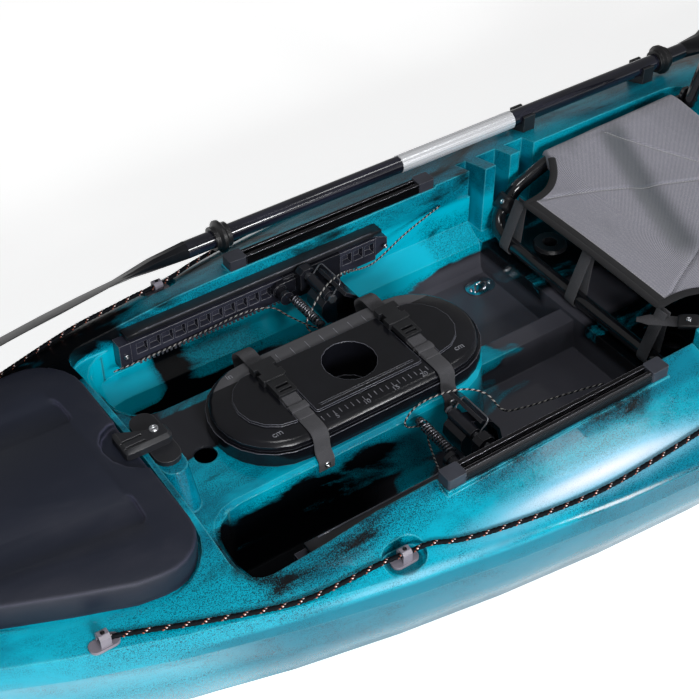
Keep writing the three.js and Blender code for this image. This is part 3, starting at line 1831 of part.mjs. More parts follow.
// The frame's legs run on a little below their hinge pins.
function backTail(side) {
  return backPlace(0, side).lerp(backPlace(1, side), backTailShare);
}

function seatBackFrame() {
  const corners = [backTail(1), backPlace(1, 1), backPlace(1, -1), backTail(-1)];
  const bore = rod(backPinRadius + seatGap, -halfBeam, halfBeam, backPivotX, backPivotZ, knuckleSides);
  return tube(bent(corners, backBend), backTubeRadius, tubeSides).subtract(bore);
}

function seatBackCloth() {
  const lean = THREE.MathUtils.degToRad(backLeanDegrees);
  const forward = vector(Math.sin(lean), 0, Math.cos(lean));
  const rows = [];
  for (let r = 0; r < backClothRows; r += 1) {
    const share = THREE.MathUtils.lerp(backLowShare, backTopShare, r / (backClothRows - 1));
    const bulge = Math.sin((Math.PI * r) / (backClothRows - 1));
    rows.push(
      mirroredShares(clothShares).map((across) => {
        const place = backPlace(share, across);
            const narrow = 1 - (1 - backSqueezeShare) * THREE.MathUtils.smoothstep(share, backSqueezeFromShare, 1);
        place.y *= narrow;
        const sag = (backSag / 2) * (1 - across * across) * bulge;
        const lift = backTubeRadius + seatGap + backClothThickness - sag;
        return place.addScaledVector(forward, lift);
      }),
    );
  }
  return sheet(rows.reverse(), backClothThickness, forward);
}

// Paddle

function paddleTube(radius, rear, front) {
  return alongX(circle(radius, tubeSides, paddleY, paddleZ), rear, front);
}

function paddleBlade(root, side, turnDegrees, curve) {
  const turn = THREE.MathUtils.degToRad(turnDegrees);
  const widthWay = vector(0, Math.cos(turn), Math.sin(turn));
  const faceWay = vector(0, Math.sin(turn), -Math.cos(turn));
  const rings = [];
  for (let i = 0; i <= bladeStations; i += 1) {
    const share = i / bladeStations;
    const run = bladeLength * share;
    const neck = THREE.MathUtils.smoothstep(run, 0, bladeNeck);
    const tip = Math.sqrt(1 - Math.max((share - bladeTipShares[0]) / bladeTipShares[1], 0) ** 2);
    const half = THREE.MathUtils.lerp(paddleRadius, bladeHalfWidth * tip, neck);
    const thick = THREE.MathUtils.lerp(paddleRadius, bladeThickness / 2, Math.min(neck * bladeThinningShare, 1));
    const drop = curve * share * share;
    const spine = vector(root + side * run, paddleY, paddleZ).addScaledVector(faceWay, drop);
    rings.push(
      circle(1, tubeSides).map(({ x, y }) => {
        const cup = bladeThickness * 2 * x * x * neck;
        return spine
          .clone()
          .addScaledVector(widthWay, x * half)
          .addScaledVector(faceWay, cup - y * thick)
          .toArray();
      }),
    );
  }
  const ordered = side > 0 ? rings : rings.reverse();
  return lofted(ordered);
}

function dripRing(x) {
  const inner = paddleRadius + seatGap;
  const ring = turned(
    [
      [inner + clipWall, -dripHalfLength],
      [inner + clipWall, -dripHalfLength / 2],
      [dripRadius, -clipWall / 2],
      [dripRadius, clipWall / 2],
      [inner + clipWall, dripHalfLength / 2],
      [inner + clipWall, dripHalfLength],
    ],
    roundSides,
  );
  const bored = ring.subtract(drum(inner, -overrun, overrun, 0, 0, tubeSides));
  return bored.rotate([0, 90, 0]).translate([x, paddleY, paddleZ]);
}

// Rudder

function rudderBracket() {
  const shelf = (low) =>
    prism(
      [
        [rudderAxisX + gudgeonLength, -gudgeonHalfWidth, 0],
        [rudderAxisX + gudgeonLength, gudgeonHalfWidth, 0],
        [rudderAxisX - gudgeonHalfWidth, gudgeonHalfWidth, gudgeonHalfWidth - endFlat],
        [rudderAxisX - gudgeonHalfWidth, -gudgeonHalfWidth, gudgeonHalfWidth - endFlat],
      ],
      low,
      low + gudgeonHeight,
    );
  const backRear = sternX - 3 * rudderCheek;
  const back = boxSolid(
    [backRear, -gudgeonHalfWidth, gudgeonLowZ],
    [backRear + 2 * rudderCheek, gudgeonHalfWidth, gudgeonHighZ + gudgeonHeight],
  );
  const pin = drum(rudderPinRadius, gudgeonLowZ, gudgeonHighZ + gudgeonHeight, rudderAxisX, 0, knuckleSides);
  return onDeck(joined([shelf(gudgeonLowZ), shelf(gudgeonHighZ), back, pin]));
}

function rudderHead() {
  const barrel = drum(gudgeonHalfWidth - endFlat, rudderHeadLowZ, rudderHeadHighZ, rudderAxisX, 0, roundSides);
  const rear = rudderAxisX - gudgeonHalfWidth;
  const cheekRear = rear - 2 * rudderCheekHalfLength;
  const inner = rudderBladeThickness / 2 + seatGap;
  const neck = boxSolid(
    [rear - rudderCheek, -inner - rudderCheek, rudderHeadLowZ],
    [rudderAxisX, inner + rudderCheek, rudderHeadHighZ],
  );
  const cheeks = bothSides(
    alongY(
      outlineOf([
        [rear, rudderHeadLowZ],
        [rear, rudderPivotZ],
        [rear - rudderCheekHalfLength, rudderPivotZ + rudderCheekHalfLength],
        [cheekRear, rudderPivotZ],
        [cheekRear, rudderHeadHighZ],
        [rear - rudderCheekHalfLength, rudderHeadLowZ],
      ]),
      inner,
      inner + rudderCheek,
    ),
  );
  const arm = boxSolid(
    [rudderAxisX - rudderArmHalfLength, -rudderArmHalfWidth, rudderHeadLowZ],
    [rudderAxisX + rudderArmHalfLength, rudderArmHalfWidth, rudderHeadLowZ + rudderCheek],
  );
  const half = inner + rudderCheek;
  const pin = rod(rudderPinRadius, -half, half, rear - rudderCheekHalfLength, rudderPivotZ, knuckleSides);
  const bore = drum(rudderPinRadius + seatGap, 0, overrun + rudderPivotZ, rudderAxisX, 0, knuckleSides);
  return joined([barrel, neck, ...cheeks, arm, pin]).subtract(bore);
}

function rudderBlade() {
  const rear = rudderAxisX - gudgeonHalfWidth - rudderCheekHalfLength;
  const half = rudderBladeHalfWidth;
  const root = rudderBladeRoot;
  const outline = rounded([
    [-root, -root, root - endFlat],
    [2 * root, -half, root],
    [rudderBladeLength, -half, half * rudderTipShare],
    [rudderBladeLength, half, half * rudderTipShare],
    [2 * root, half, root],
    [-root, root, root - endFlat],
  ]).map(({ x, y }) => new THREE.Vector2(rear + x, rudderPivotZ + y));
  const blade = alongY(outline, -rudderBladeThickness / 2, rudderBladeThickness / 2);
  return blade.subtract(rod(rudderPinRadius + seatGap, -half, half, rear, rudderPivotZ, knuckleSides));
}

// Assembly

const group = new THREE.Group();

function place(name, shape, finish) {
  const geometry = shape.isBufferGeometry ? shape : geometryOf(shape);
  const mesh = new THREE.Mesh(geometry, material(finish));
  mesh.name = name;
  group.add(mesh);
}

function placePair(name, shape, finish) {
  place(`port_${name}`, shape, finish);
  place(`starboard_${name}`, mirroredY(shape), finish);
}

place('hull', hullSolid(), colours.teal);
place('hatch_hinge', hatchHinge(), colours.steel);
place('hatch_cover', hatchCover(), colours.softBlack);
place('latch_plate', latchPlate(), colours.plastic);
place('latch_lever', latchLever(), colours.plastic);

place('pod_box', podBox(), colours.gloss);
place('pod_lid', podLid(), colours.gloss);
['bow', 'stern'].forEach((end, i) => {
  place(`${end}_pod_strap`, podStrap(strapXs[i]), colours.webbing);
  place(`${end}_pod_buckle`, podBuckle(strapXs[i]), colours.plastic);
});

placePair('gear_track', gearTrack(), colours.anodised);
placePair('track_rear_cap', trackCap(trackRearX), colours.grey);
placePair('track_front_cap', trackCap(trackFrontX - trackCapLength), colours.grey);

const spring = pedalSpring();
console.log('spring least self-gap, mm', leastSelfGap(spring.points, springSteps / 2, springWire).toFixed(2));
placePair('foot_rail', footRail(), colours.plastic);
placePair('pedal_carriage', carriage(), colours.plastic);
placePair('pedal_spring', spring.solid, colours.steel);
placePair('pedal_shaft', pedalShaft(), colours.steel);
placePair('pedal', pedal(), colours.plastic);

[['port', 1, portLineStart], ['starboard', -1, starboardLineStart]].forEach(([side, sign, start]) => {
  const line = cord(steeringLineRoute(start, sign), lineRadius, lineSides, lineSteps);
  place(`${side}_steering_line`, line, colours.cord);
  const rope = cord(deckLineRoute(sign), ropeRadius, ropeSides, ropeSteps);
  place(`${side}_deck_line`, rope, colours.cord);
});
['bow', 'middle', 'stern'].forEach((end, i) => {
  const [x, y] = padeyePlaces[i];
  const sunk = end === 'middle';
  const shape = padeye(sunk ? padeyeRecessZ + seatGap : deckAt(x, y)).translate([x, y, 0]);
  placePair(`${end}_padeye`, sunk ? shape : onDeck(shape), colours.steel);
});
place('floor_padeye', floorPadeye(), colours.steel);
place('drain_ring', drainRing(), colours.plastic);
place('bow_handle', carryHandle(bowHandleX), colours.plastic);
place('stern_handle', carryHandle(sternHandleX), colours.plastic);
['bow', 'stern'].forEach((end, i) => place(`${end}_paddle_clip`, paddleClip(clipXs[i]), colours.plastic));

place('seat_frame', seatFrame(), colours.tubeBlack);
place('seat_cloth', seatCloth(), colours.mesh);
['starboard', 'middle', 'port'].forEach((side, i) => {
  place(`${side}_seat_loop`, seatLoop(loopYs[i]), colours.webbing);
});
place('seat_back_frame', seatBackFrame(), colours.tubeBlack);
place('seat_back_cloth', seatBackCloth(), colours.mesh);

place('front_paddle_shaft', paddleTube(paddleRadius, ferruleFrontX + seatGap, bladeFrontX - seatGap), colours.gloss);
place('paddle_ferrule', paddleTube(ferruleRadius, ferruleRearX, ferruleFrontX), colours.aluminium);
place('rear_paddle_shaft', paddleTube(paddleRadius, bladeRearX + seatGap, ferruleRearX - seatGap), colours.gloss);
place('front_paddle_blade', paddleBlade(bladeFrontX, 1, bladeTurnDegrees, bladeCurve), colours.plastic);
place('rear_paddle_blade', paddleBlade(bladeRearX, -1, 0, -bladeCurve), colours.plastic);
place('front_drip_ring', dripRing(dripXs[0]), colours.plastic);
place('rear_drip_ring', dripRing(dripXs[1]), colours.plastic);

place('rudder_bracket', rudderBracket(), colours.plastic);
place('rudder_head', rudderHead(), colours.plastic);
place('rudder_blade', rudderBlade(), colours.plastic);

export default group;
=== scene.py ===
import math

import bpy
import numpy as np
from mathutils import Matrix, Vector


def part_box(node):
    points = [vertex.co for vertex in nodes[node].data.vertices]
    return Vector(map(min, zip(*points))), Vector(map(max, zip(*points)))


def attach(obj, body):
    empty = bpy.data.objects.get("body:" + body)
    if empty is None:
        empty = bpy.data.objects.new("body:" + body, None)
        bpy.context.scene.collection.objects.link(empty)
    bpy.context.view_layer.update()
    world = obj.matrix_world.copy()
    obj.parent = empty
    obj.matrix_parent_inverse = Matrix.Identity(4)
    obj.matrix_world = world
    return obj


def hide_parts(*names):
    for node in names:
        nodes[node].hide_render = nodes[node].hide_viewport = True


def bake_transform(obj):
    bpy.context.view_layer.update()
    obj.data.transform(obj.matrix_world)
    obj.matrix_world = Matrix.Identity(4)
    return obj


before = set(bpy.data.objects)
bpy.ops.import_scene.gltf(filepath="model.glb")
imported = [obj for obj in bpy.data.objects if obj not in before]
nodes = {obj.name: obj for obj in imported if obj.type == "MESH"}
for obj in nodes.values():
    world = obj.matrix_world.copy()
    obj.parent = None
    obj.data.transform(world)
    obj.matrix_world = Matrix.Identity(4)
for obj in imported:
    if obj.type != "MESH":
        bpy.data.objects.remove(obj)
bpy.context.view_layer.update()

# Studio: a white floor, and a backdrop that is white at the horizon and darkens overhead, so
# that level black surfaces stay black. The key lamp stands to port, a small one aft of it draws
# the bright lines along the edges, and two over the deck lay its gleams. The camera looks down
# across the cockpit from over the port bow.


def look_axes(turn, tilt):
    """Right, up and back of a camera that looks aft and to starboard: turn is how far its
    picture runs from straight along the boat, tilt how far it looks down."""
    right = np.array([-math.cos(turn), math.sin(turn), 0.0])
    level = np.array([-math.sin(turn), -math.cos(turn), 0.0])
    up = math.sin(tilt) * level + np.array([0.0, 0.0, math.cos(tilt)])
    return right, up, np.cross(right, up)


def in_scene(name, data):
    """A new object with this data, linked to the scene."""
    made = bpy.data.objects.new(name, data)
    bpy.context.scene.collection.objects.link(made)
    return made


def placed(axes, point):
    """The matrix of an object that stands at a point, along three axes."""
    matrix = np.eye(4)
    matrix[:3, :3] = np.stack(axes, axis=1)
    matrix[:3, 3] = point
    return Matrix(matrix.tolist())


camera_turn, camera_tilt = 0.60252, 0.74829
camera_point = (1.335, 1.243, 1.668)
camera_data = bpy.data.cameras.new("camera")
camera_data.lens = 72.99
camera_data.sensor_width = 36.0
camera_data.shift_y = 0.0279
camera_data.clip_end = 60.0
camera = in_scene("camera", camera_data)
camera.matrix_world = placed(look_axes(camera_turn, camera_tilt), camera_point)
bpy.context.scene.camera = camera
bpy.context.scene.view_settings.view_transform = "Standard"


class Signal:
    """A shader socket that sums are written on in Python: each sum adds its Math node."""

    def __init__(self, finish, socket):
        self.finish = finish
        self.socket = socket

    def maths(self, operation, *others):
        values = {0: self}
        values.update({i + 1: other for i, other in enumerate(others)})
        return self.finish.node("ShaderNodeMath", {"operation": operation}, values)

    def __add__(self, other):
        return self.maths("ADD", other)

    __radd__ = __add__

    def __mul__(self, other):
        return self.maths("MULTIPLY", other)

    __rmul__ = __mul__

    def __sub__(self, other):
        return self.maths("SUBTRACT", other)

    def __rsub__(self, other):
        return self.finish.node("ShaderNodeMath", {"operation": "SUBTRACT"}, {0: other, 1: self})

    def __abs__(self):
        return self.maths("ABSOLUTE")

    def least(self, other):
        return self.maths("MINIMUM", other)

    def most(self, other):
        return self.maths("MAXIMUM", other)

    def fraction(self):
        return self.maths("FRACT")

    def hypotenuse(self, other):
        return (self * self + other * other).maths("POWER", 0.5)

    def sine(self):
        return self.maths("SINE")

    def eased(self, low, high):
        """0 below low and 1 above high, with a smooth rise between."""
        return self.finish.node(
            "ShaderNodeMapRange",
            {"interpolation_type": "SMOOTHSTEP"},
            {"Value": self, "From Min": low, "From Max": high},
        )

    def band(self, low, high, soft):
        """1 between low and high, falling to 0 over soft at each side."""
        return self.eased(low - soft, low) * (1 - self.eased(high, high + soft))


class Finish:
    """One material. node() adds any node from its type, its settings and its sockets' values."""

    def __init__(self, name, **constants):
        self.material = bpy.data.materials.new(name)
        self.material.use_nodes = True
        self.tree = self.material.node_tree
        self.tree.nodes.clear()
        self.shader = self.tree.nodes.new("ShaderNodeBsdfPrincipled")
        output = self.tree.nodes.new("ShaderNodeOutputMaterial")
        self.tree.links.new(self.shader.outputs[0], output.inputs[0])
        self.wear(**constants)

    def node(self, kind, settings=None, values=None, out=0):
        made = self.tree.nodes.new(kind)
        for key, value in (settings or {}).items():
            setattr(made, key, value)
        for key, value in (values or {}).items():
            self.feed(made.inputs[key], value)
        return Signal(self, made.outputs[out])

    def feed(self, socket, value):
        if isinstance(value, Signal):
            self.tree.links.new(value.socket, socket)
        elif isinstance(value, tuple) and len(value) == 3 and socket.type == "RGBA":
            socket.default_value = (*value, 1.0)
        else:
            socket.default_value = value

    def place(self):
        return self.node("ShaderNodeTexCoord", out="Object")

    def uv(self):
        return self.node("ShaderNodeUVMap")

    def split(self, vector):
        parts = self.node("ShaderNodeSeparateXYZ", None, {0: vector}).socket.node.outputs
        return [Signal(self, part) for part in parts]

    def stretched(self, vector, scale):
        return self.node("ShaderNodeMapping", None, {"Vector": vector, "Scale": scale})

    def noise(self, vector, scale, detail=3.0, roughness=0.5, distortion=0.0):
        amounts = (vector, scale, detail, roughness, distortion)
        names = ("Vector", "Scale", "Detail", "Roughness", "Distortion")
        return self.node("ShaderNodeTexNoise", None, dict(zip(names, amounts)))

    def mixed(self, share, first, second):
        values = {0: share, 6: first, 7: second}
        return self.node("ShaderNodeMix", {"data_type": "RGBA"}, values, out=2)

    def layered(self, colour, *coats):
        """A colour under coats, each a share and the coat's own colour."""
        for share, coat in coats:
            colour = self.mixed(share, colour, coat)
        return colour

    def bump(self, height, distance, strength=1.0, normal=None):
        values = {"Height": height, "Distance": distance, "Strength": strength}
        if normal is not None:
            values["Normal"] = normal
        return self.node("ShaderNodeBump", None, values)

    def edges(self, radius):
        """The normal that the surface would have with edges rounded to this radius, and a mask
        that is 1 on those edges: one less the dot product of that normal and the true one."""
        rounded = self.node("ShaderNodeBevel", {"samples": 4}, {"Radius": radius})
        true = self.node("ShaderNodeNewGeometry", out="Normal")
        dot = {"operation": "DOT_PRODUCT"}
        alike = self.node("ShaderNodeVectorMath", dot, {0: rounded, 1: true}, out="Value")
        return rounded, (1 - alike).eased(0.02, 0.25)

    def wear(self, **sockets):
        for name, value in sockets.items():
            self.feed(self.shader.inputs[name.replace("_", " ")], value)


def paint(*screen):
    """Red, green and blue as they look on a screen, from 0 to 255, as a shader's linear numbers."""
    share = np.array(screen) / 255.0
    linear = np.where(share < 0.04045, share / 12.92, ((share + 0.055) / 1.055) ** 2.4)
    return tuple(linear.tolist())


def mesh_piece(name, points, faces, finish, body, slot=None, replaced=(), uv=None, flat=False):
    """A named piece from an array of points and a list of groups of faces, riding on a body of
    the frame. uv has one row for each corner of each face, in order."""
    mesh = bpy.data.meshes.new(name)
    corners = [[int(corner) for corner in face] for group in faces for face in group]
    mesh.from_pydata(np.asarray(points, float).tolist(), [], corners)
    if uv is not None:
        layer = mesh.uv_layers.new(name="UVMap")
        layer.data.foreach_set("uv", np.asarray(uv, np.float32).ravel())
    mesh.polygons.foreach_set("use_smooth", [not flat] * len(mesh.polygons))
    piece = in_scene(name, mesh)
    mesh.materials.append(finish.material)
    if body:
        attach(piece, body)
    if replaced:
        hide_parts(*replaced)
    return piece


floor_paint = Finish("studio_floor", Base_Color=(0.93, 0.93, 0.93), Roughness=0.95, Specular_IOR_Level=0.0)
seen_by = [f"Is {kind} Ray" for kind in ("Camera", "Glossy", "Transmission")]
seen = sum(floor_paint.node("ShaderNodeLightPath", out=ray) for ray in seen_by)
floor_paint.wear(Emission_Strength=1.0, Emission_Color=seen.least(1.0) * 0.6)
floor_corners = [(-14, -14, -0.001), (14, -14, -0.001), (14, 14, -0.001), (-14, 14, -0.001)]
mesh_piece("studio_floor", floor_corners, [[(0, 1, 2, 3)]], floor_paint, None)

world = bpy.data.worlds.new("studio")
bpy.context.scene.world = world
world.use_nodes = True
sky = world.node_tree
sky.nodes.clear()
direction = sky.nodes.new("ShaderNodeTexCoord")
direction_parts = sky.nodes.new("ShaderNodeSeparateXYZ")
darkening = sky.nodes.new("ShaderNodeMapRange")
darkening.interpolation_type = "SMOOTHSTEP"
for socket, value in {"From Min": 0.03, "From Max": 0.24, "To Min": 1.0, "To Max": 0.20}.items():
    darkening.inputs[socket].default_value = value
backdrop = sky.nodes.new("ShaderNodeBackground")
backdrop.inputs["Color"].default_value = (1.0, 1.0, 1.0, 1.0)
sky_out = sky.nodes.new("ShaderNodeOutputWorld")
sky.links.new(direction.outputs["Generated"], direction_parts.inputs[0])
sky.links.new(direction_parts.outputs["Z"], darkening.inputs["Value"])
sky.links.new(darkening.outputs[0], backdrop.inputs["Strength"])
sky.links.new(backdrop.outputs[0], sky_out.inputs[0])


def soft_lamp(name, place, aim, width, height, power):
    """A rectangular lamp that faces its aim, its width level."""
    data = bpy.data.lights.new(name, "AREA")
    data.shape = "RECTANGLE"
    data.size = width
    data.size_y = height
    data.energy = power
    away = np.array(place, float) - np.array(aim, float)
    away /= np.linalg.norm(away)
    side = np.cross((0.0, 0.0, 1.0), away)
    side /= np.linalg.norm(side)
    in_scene(name, data).matrix_world = placed([side, np.cross(away, side), away], place)


soft_lamp("key", (1.1, 3.2, 1.75), (0.3, 0.0, 0.2), 1.2, 0.9, 98)
soft_lamp("edge_gleam", (-0.95, 2.9, 1.75), (0.3, 0.0, 0.25), 0.45, 0.45, 22)
soft_lamp("deck_gleam", (-1.20, 0.57, 2.87), (0.35, 0.35, 0.27), 0.35, 0.4, 4)
soft_lamp("cover_gleam", (0.75, 0.64, 2.90), (0.90, 0.15, 0.30), 0.9, 0.4, 13)


# Deck lines: a braided 7 mm rope along each side deck, black with orange and white flecks,
# threaded through three eyes on each side and ending at the last one.
sides = (("port", 1), ("starboard", -1))
deck_rear_x, deck_run = -0.1, 1.63
deck_half_beam, deck_taper = 0.425, 0.85
deck_edge_z, deck_rise = 0.245, 0.090
crown_middle, crown_bow = 0.084, 0.030
crown_falls_x = (0.6, 0.86)
rope_radius = 0.0035
rope_strands, rope_sides = 4, 16
rope_braid_pitch, rope_braid_depth = 0.0155, 0.16
rope_fleck, rope_fleck_share = 0.024, 0.07
rope_steps, rope_spacing = 12, 0.0016
eye_places = [(1.0, 0.240), (0.6185, 0.325), (-0.1, 0.371)]
eye_recess_z = 0.254
eye_hole_rise = 0.0135
eye_half_length = 0.02
rope_lift = 0.00495
rope_route = [
    (1.004, 0.240),
    (0.980, 0.241),
    (0.948, 0.252),
    (0.900, 0.270),
    (0.768, 0.312),
    (0.700, 0.319),
    (0.654, 0.322),
    (0.6185, 0.325),
    (0.583, 0.331),
    (0.545, 0.345),
    (0.461, 0.363),
    (0.336, 0.380),
    (0.220, 0.381),
    (0.151, 0.379),
    (0.040, 0.375),
    (-0.055, 0.3715),
    (-0.080, 0.371),
    (-0.104, 0.371),
]


def smooth_step(value, low, high):
    share = np.clip((value - low) / (high - low), 0.0, 1.0)
    return share * share * (3.0 - 2.0 * share)


def deck_height(x, y):
    """Height of the foredeck in metres: an edge that rises with the cube of the way to the bow,
    and a crown that falls with the square of the way from the middle to the edge."""
    share = np.clip((x - deck_rear_x) / deck_run, 0.0, 1.0)
    half_beam = deck_half_beam * (1.0 - share**2) ** deck_taper
    crown = crown_middle + (crown_bow - crown_middle) * smooth_step(x, *crown_falls_x)
    return deck_edge_z + deck_rise * share**3 + crown * (1.0 - (y / half_beam) ** 2)


def spans(points):
    """The distance from each point of a line to the next, as a column."""
    return np.linalg.norm(np.diff(points, axis=0), axis=1)[:, None]


def lengths_along(points):
    """How far along a line each of its points lies."""
    return np.concatenate([[0.0], np.cumsum(spans(points))])


def route_curve(points, steps):
    """A centripetal Catmull-Rom curve through the points: on each stretch the cubic whose end
    slopes come from the neighbours, weighted by the square roots of the distances."""
    points = np.asarray(points, float)
    ends = [2 * points[0] - points[1], 2 * points[-1] - points[-2]]
    points = np.vstack([ends[0], points, ends[1]])
    p0, p1, p2, p3 = points[:-3], points[1:-2], points[2:-1], points[3:]
    d0, d1, d2 = [part**0.5 for part in (spans(points[:-2]), spans(points[1:-1]), spans(points[2:]))]
    slope1 = ((p1 - p0) / d0 - (p2 - p0) / (d0 + d1) + (p2 - p1) / d1) * d1
    slope2 = ((p2 - p1) / d1 - (p3 - p1) / (d1 + d2) + (p3 - p2) / d2) * d1
    t = (np.arange(steps) / steps)[None, :, None]
    p1, p2, slope1, slope2 = [a[:, None] for a in (p1, p2, slope1, slope2)]
    cubic = (2 * p1 - 2 * p2 + slope1 + slope2) * t**3 + (-3 * p1 + 3 * p2 - 2 * slope1 - slope2) * t**2
    return np.vstack([(cubic + slope1 * t + p1).reshape(-1, 3), points[-2:-1]])


def evenly(points, spacing):
    """The same line with its points an equal distance apart."""
    reach = lengths_along(points)
    places = np.linspace(0.0, reach[-1], max(int(round(reach[-1] / spacing)), 2) + 1)
    return np.stack([np.interp(places, reach, points[:, axis]) for axis in range(3)], 1)


def round_section(radius, sides, high=None):
    """A circle, or an ellipse of another height, run anticlockwise."""
    angle = 2 * np.pi * np.arange(sides) / sides
    return np.stack([radius * np.cos(angle), (high or radius) * np.sin(angle)], 1)


def flat_section(width, height, corner=0.45, corner_steps=3):
    """A flat bar with round corners, as webbing is: corner is its share of the height."""
    radius = corner * height
    angle = np.linspace(0.0, np.pi / 2, corner_steps)
    quarter = radius * np.stack([np.cos(angle), np.sin(angle)], 1)
    half_width, half_height = width / 2 - radius, height / 2 - radius
    turned = [quarter, quarter[:, ::-1] * (-1, 1), -quarter, quarter[:, ::-1] * (1, -1)]
    centres = [(1, 1), (-1, 1), (-1, -1), (1, -1)]
    return np.vstack([q + np.array(c) * (half_width, half_height) for q, c in zip(turned, centres)])


def grid_faces(rows, columns, closed=False):
    """Four-sided faces between neighbours of a grid of points that is stored row by row. In a
    closed grid the last column also joins the first."""
    r, c = np.meshgrid(np.arange(rows - 1), np.arange(columns if closed else columns - 1), indexing="ij")
    r, c = r.ravel() * columns, c.ravel()
    next_c = (c + 1) % columns
    return np.stack([r + c, r + next_c, r + columns + next_c, r + columns + c], 1)


def grid_uv(across, along):
    """The corners of each face of a grid on its flat sheet, in metres: across is the length at
    each column's edge, along the length at each row."""
    r, c = np.meshgrid(np.arange(len(along) - 1), np.arange(len(across) - 1), indexing="ij")
    r, c = r.ravel(), c.ravel()
    corners = [(r, c), (r, c + 1), (r + 1, c + 1), (r + 1, c)]
    return np.stack([np.stack([across[k], along[i]], 1) for i, k in corners], 1).reshape(-1, 2)


def capped(rings):
    """Points and faces of a tube of rings that a fan to its middle point closes at each end."""
    rows, columns = rings.shape[:2]
    count, last = rows * columns, (rows - 1) * columns
    points = np.vstack([rings.reshape(-1, 3), rings[0].mean(axis=0), rings[-1].mean(axis=0)])
    k = np.arange(columns)
    next_k = (k + 1) % columns
    foot = np.stack([np.full(columns, count), next_k, k], 1)
    head = np.stack([np.full(columns, count + 1), last + k, last + next_k], 1)
    return points, [grid_faces(rows, columns, closed=True), foot, head]


def carried(name, path, section, side, finish, body, slot, replaced=()):
    """A piece made by carrying a section along a path: each ring is the path's point plus the
    section's first number along side and its second along the direction square to side and
    path. Its UV map is its flat sheet, with the fans at its ends drawn to a point."""
    tangent = np.gradient(path, axis=0)
    tangent /= np.linalg.norm(tangent, axis=1, keepdims=True)
    side = np.broadcast_to(np.asarray(side, float), path.shape)
    side = side - np.sum(side * tangent, axis=1, keepdims=True) * tangent
    side = side / np.linalg.norm(side, axis=1, keepdims=True)
    up = np.cross(tangent, side)
    section = np.broadcast_to(section, (len(path), *np.shape(section)[-2:]))
    rings = path[:, None] + section[:, :, :1] * side[:, None] + section[:, :, 1:] * up[:, None]
    points, faces = capped(rings)
    across = lengths_along(np.vstack([section[0], section[0][:1]]))
    along = lengths_along(path)
    end_uv = np.repeat([[0.0, along[0]], [0.0, along[-1]]], 3 * rings.shape[1], axis=0)
    uv = np.vstack([grid_uv(across, along), end_uv])
    return mesh_piece(name, points, faces, finish, body, slot, replaced, uv)


def across_line(path, reference):
    """Side directions for a cord: square to its path and to a direction that it never takes."""
    return np.cross(np.gradient(path, axis=0), reference)


def braided(radius, strands, pitch, depth, path, sides_round):
    """Rings of a braid: the radius swells where two families of helices, one each way round,
    rise, as depth times the product of their sines."""
    along = lengths_along(path)[:, None]
    angle = (2 * np.pi * np.arange(sides_round) / sides_round)[None]
    turn = 2 * np.pi * along / pitch
    swell = np.sin(strands * angle + turn) * np.sin(strands * angle - turn)
    r = radius * (1.0 - depth / 2 + depth * swell)
    return np.stack([r * np.cos(angle), r * np.sin(angle)], 2)


def cord_finish(name, radius, base, flecks, pitch, share):
    """Braided cord: dark yarn with a fleck of each pale colour in every pitch, broken into
    strands by a finer pattern round it."""
    finish = Finish(name, Roughness=0.7, Specular_IOR_Level=0.1)
    u, v, _ = finish.split(finish.uv())
    round_share = u * (1.0 / (2 * math.pi * radius))
    helix = (v * (1.0 / pitch) + round_share).fraction()
    slope = v * (3.0 / pitch)
    strands = (round_share * 4.0 - slope).fraction().band(0.32, 0.62, 0.1)
    grain = finish.noise(finish.place(), 900.0, 2.0)
    colour = finish.mixed(grain.eased(0.35, 0.7), base, tuple(2.6 * part for part in base))
    for order, fleck in enumerate(flecks):
        middle = 0.3 + 1.3 * share * order
        mark = helix.band(middle - share / 2, middle + share / 2, 0.02) * strands
        colour = finish.mixed(mark, colour, fleck)
    weave = (round_share * 6.0 + slope).fraction() * (round_share * 6.0 - slope).fraction()
    finish.wear(Base_Color=colour, Normal=finish.bump(weave, 0.0006, 0.6))
    return finish


rope_flecks = [paint(176, 92, 66), paint(240, 226, 226)]
rope_black = paint(6, 8, 12)
rope_finish = cord_finish("deck_rope", rope_radius, rope_black, rope_flecks, rope_fleck, rope_fleck_share)
for side_name, mirror in sides:
    xs, ys = np.array(rope_route).T
    heights = deck_height(xs, ys) + rope_lift
    for eye_x, eye_y in eye_places:
        near = np.abs(xs - eye_x) <= eye_half_length
        floor_z = eye_recess_z if eye_x == eye_places[1][0] else deck_height(eye_x, eye_y)
        heights = np.where(near, floor_z + eye_hole_rise, heights)
    route = np.stack([xs, mirror * ys, heights], 1)
    path = evenly(route_curve(route, rope_steps), rope_spacing)
    rings = braided(rope_radius, rope_strands, rope_braid_pitch, rope_braid_depth, path, rope_sides)
    level = across_line(path, (0, 0, 1))
    replaced = [f"{side_name}_deck_line"]
    carried(f"{side_name}_deck_rope", path, rings, level, rope_finish, "hull", "cord", replaced)

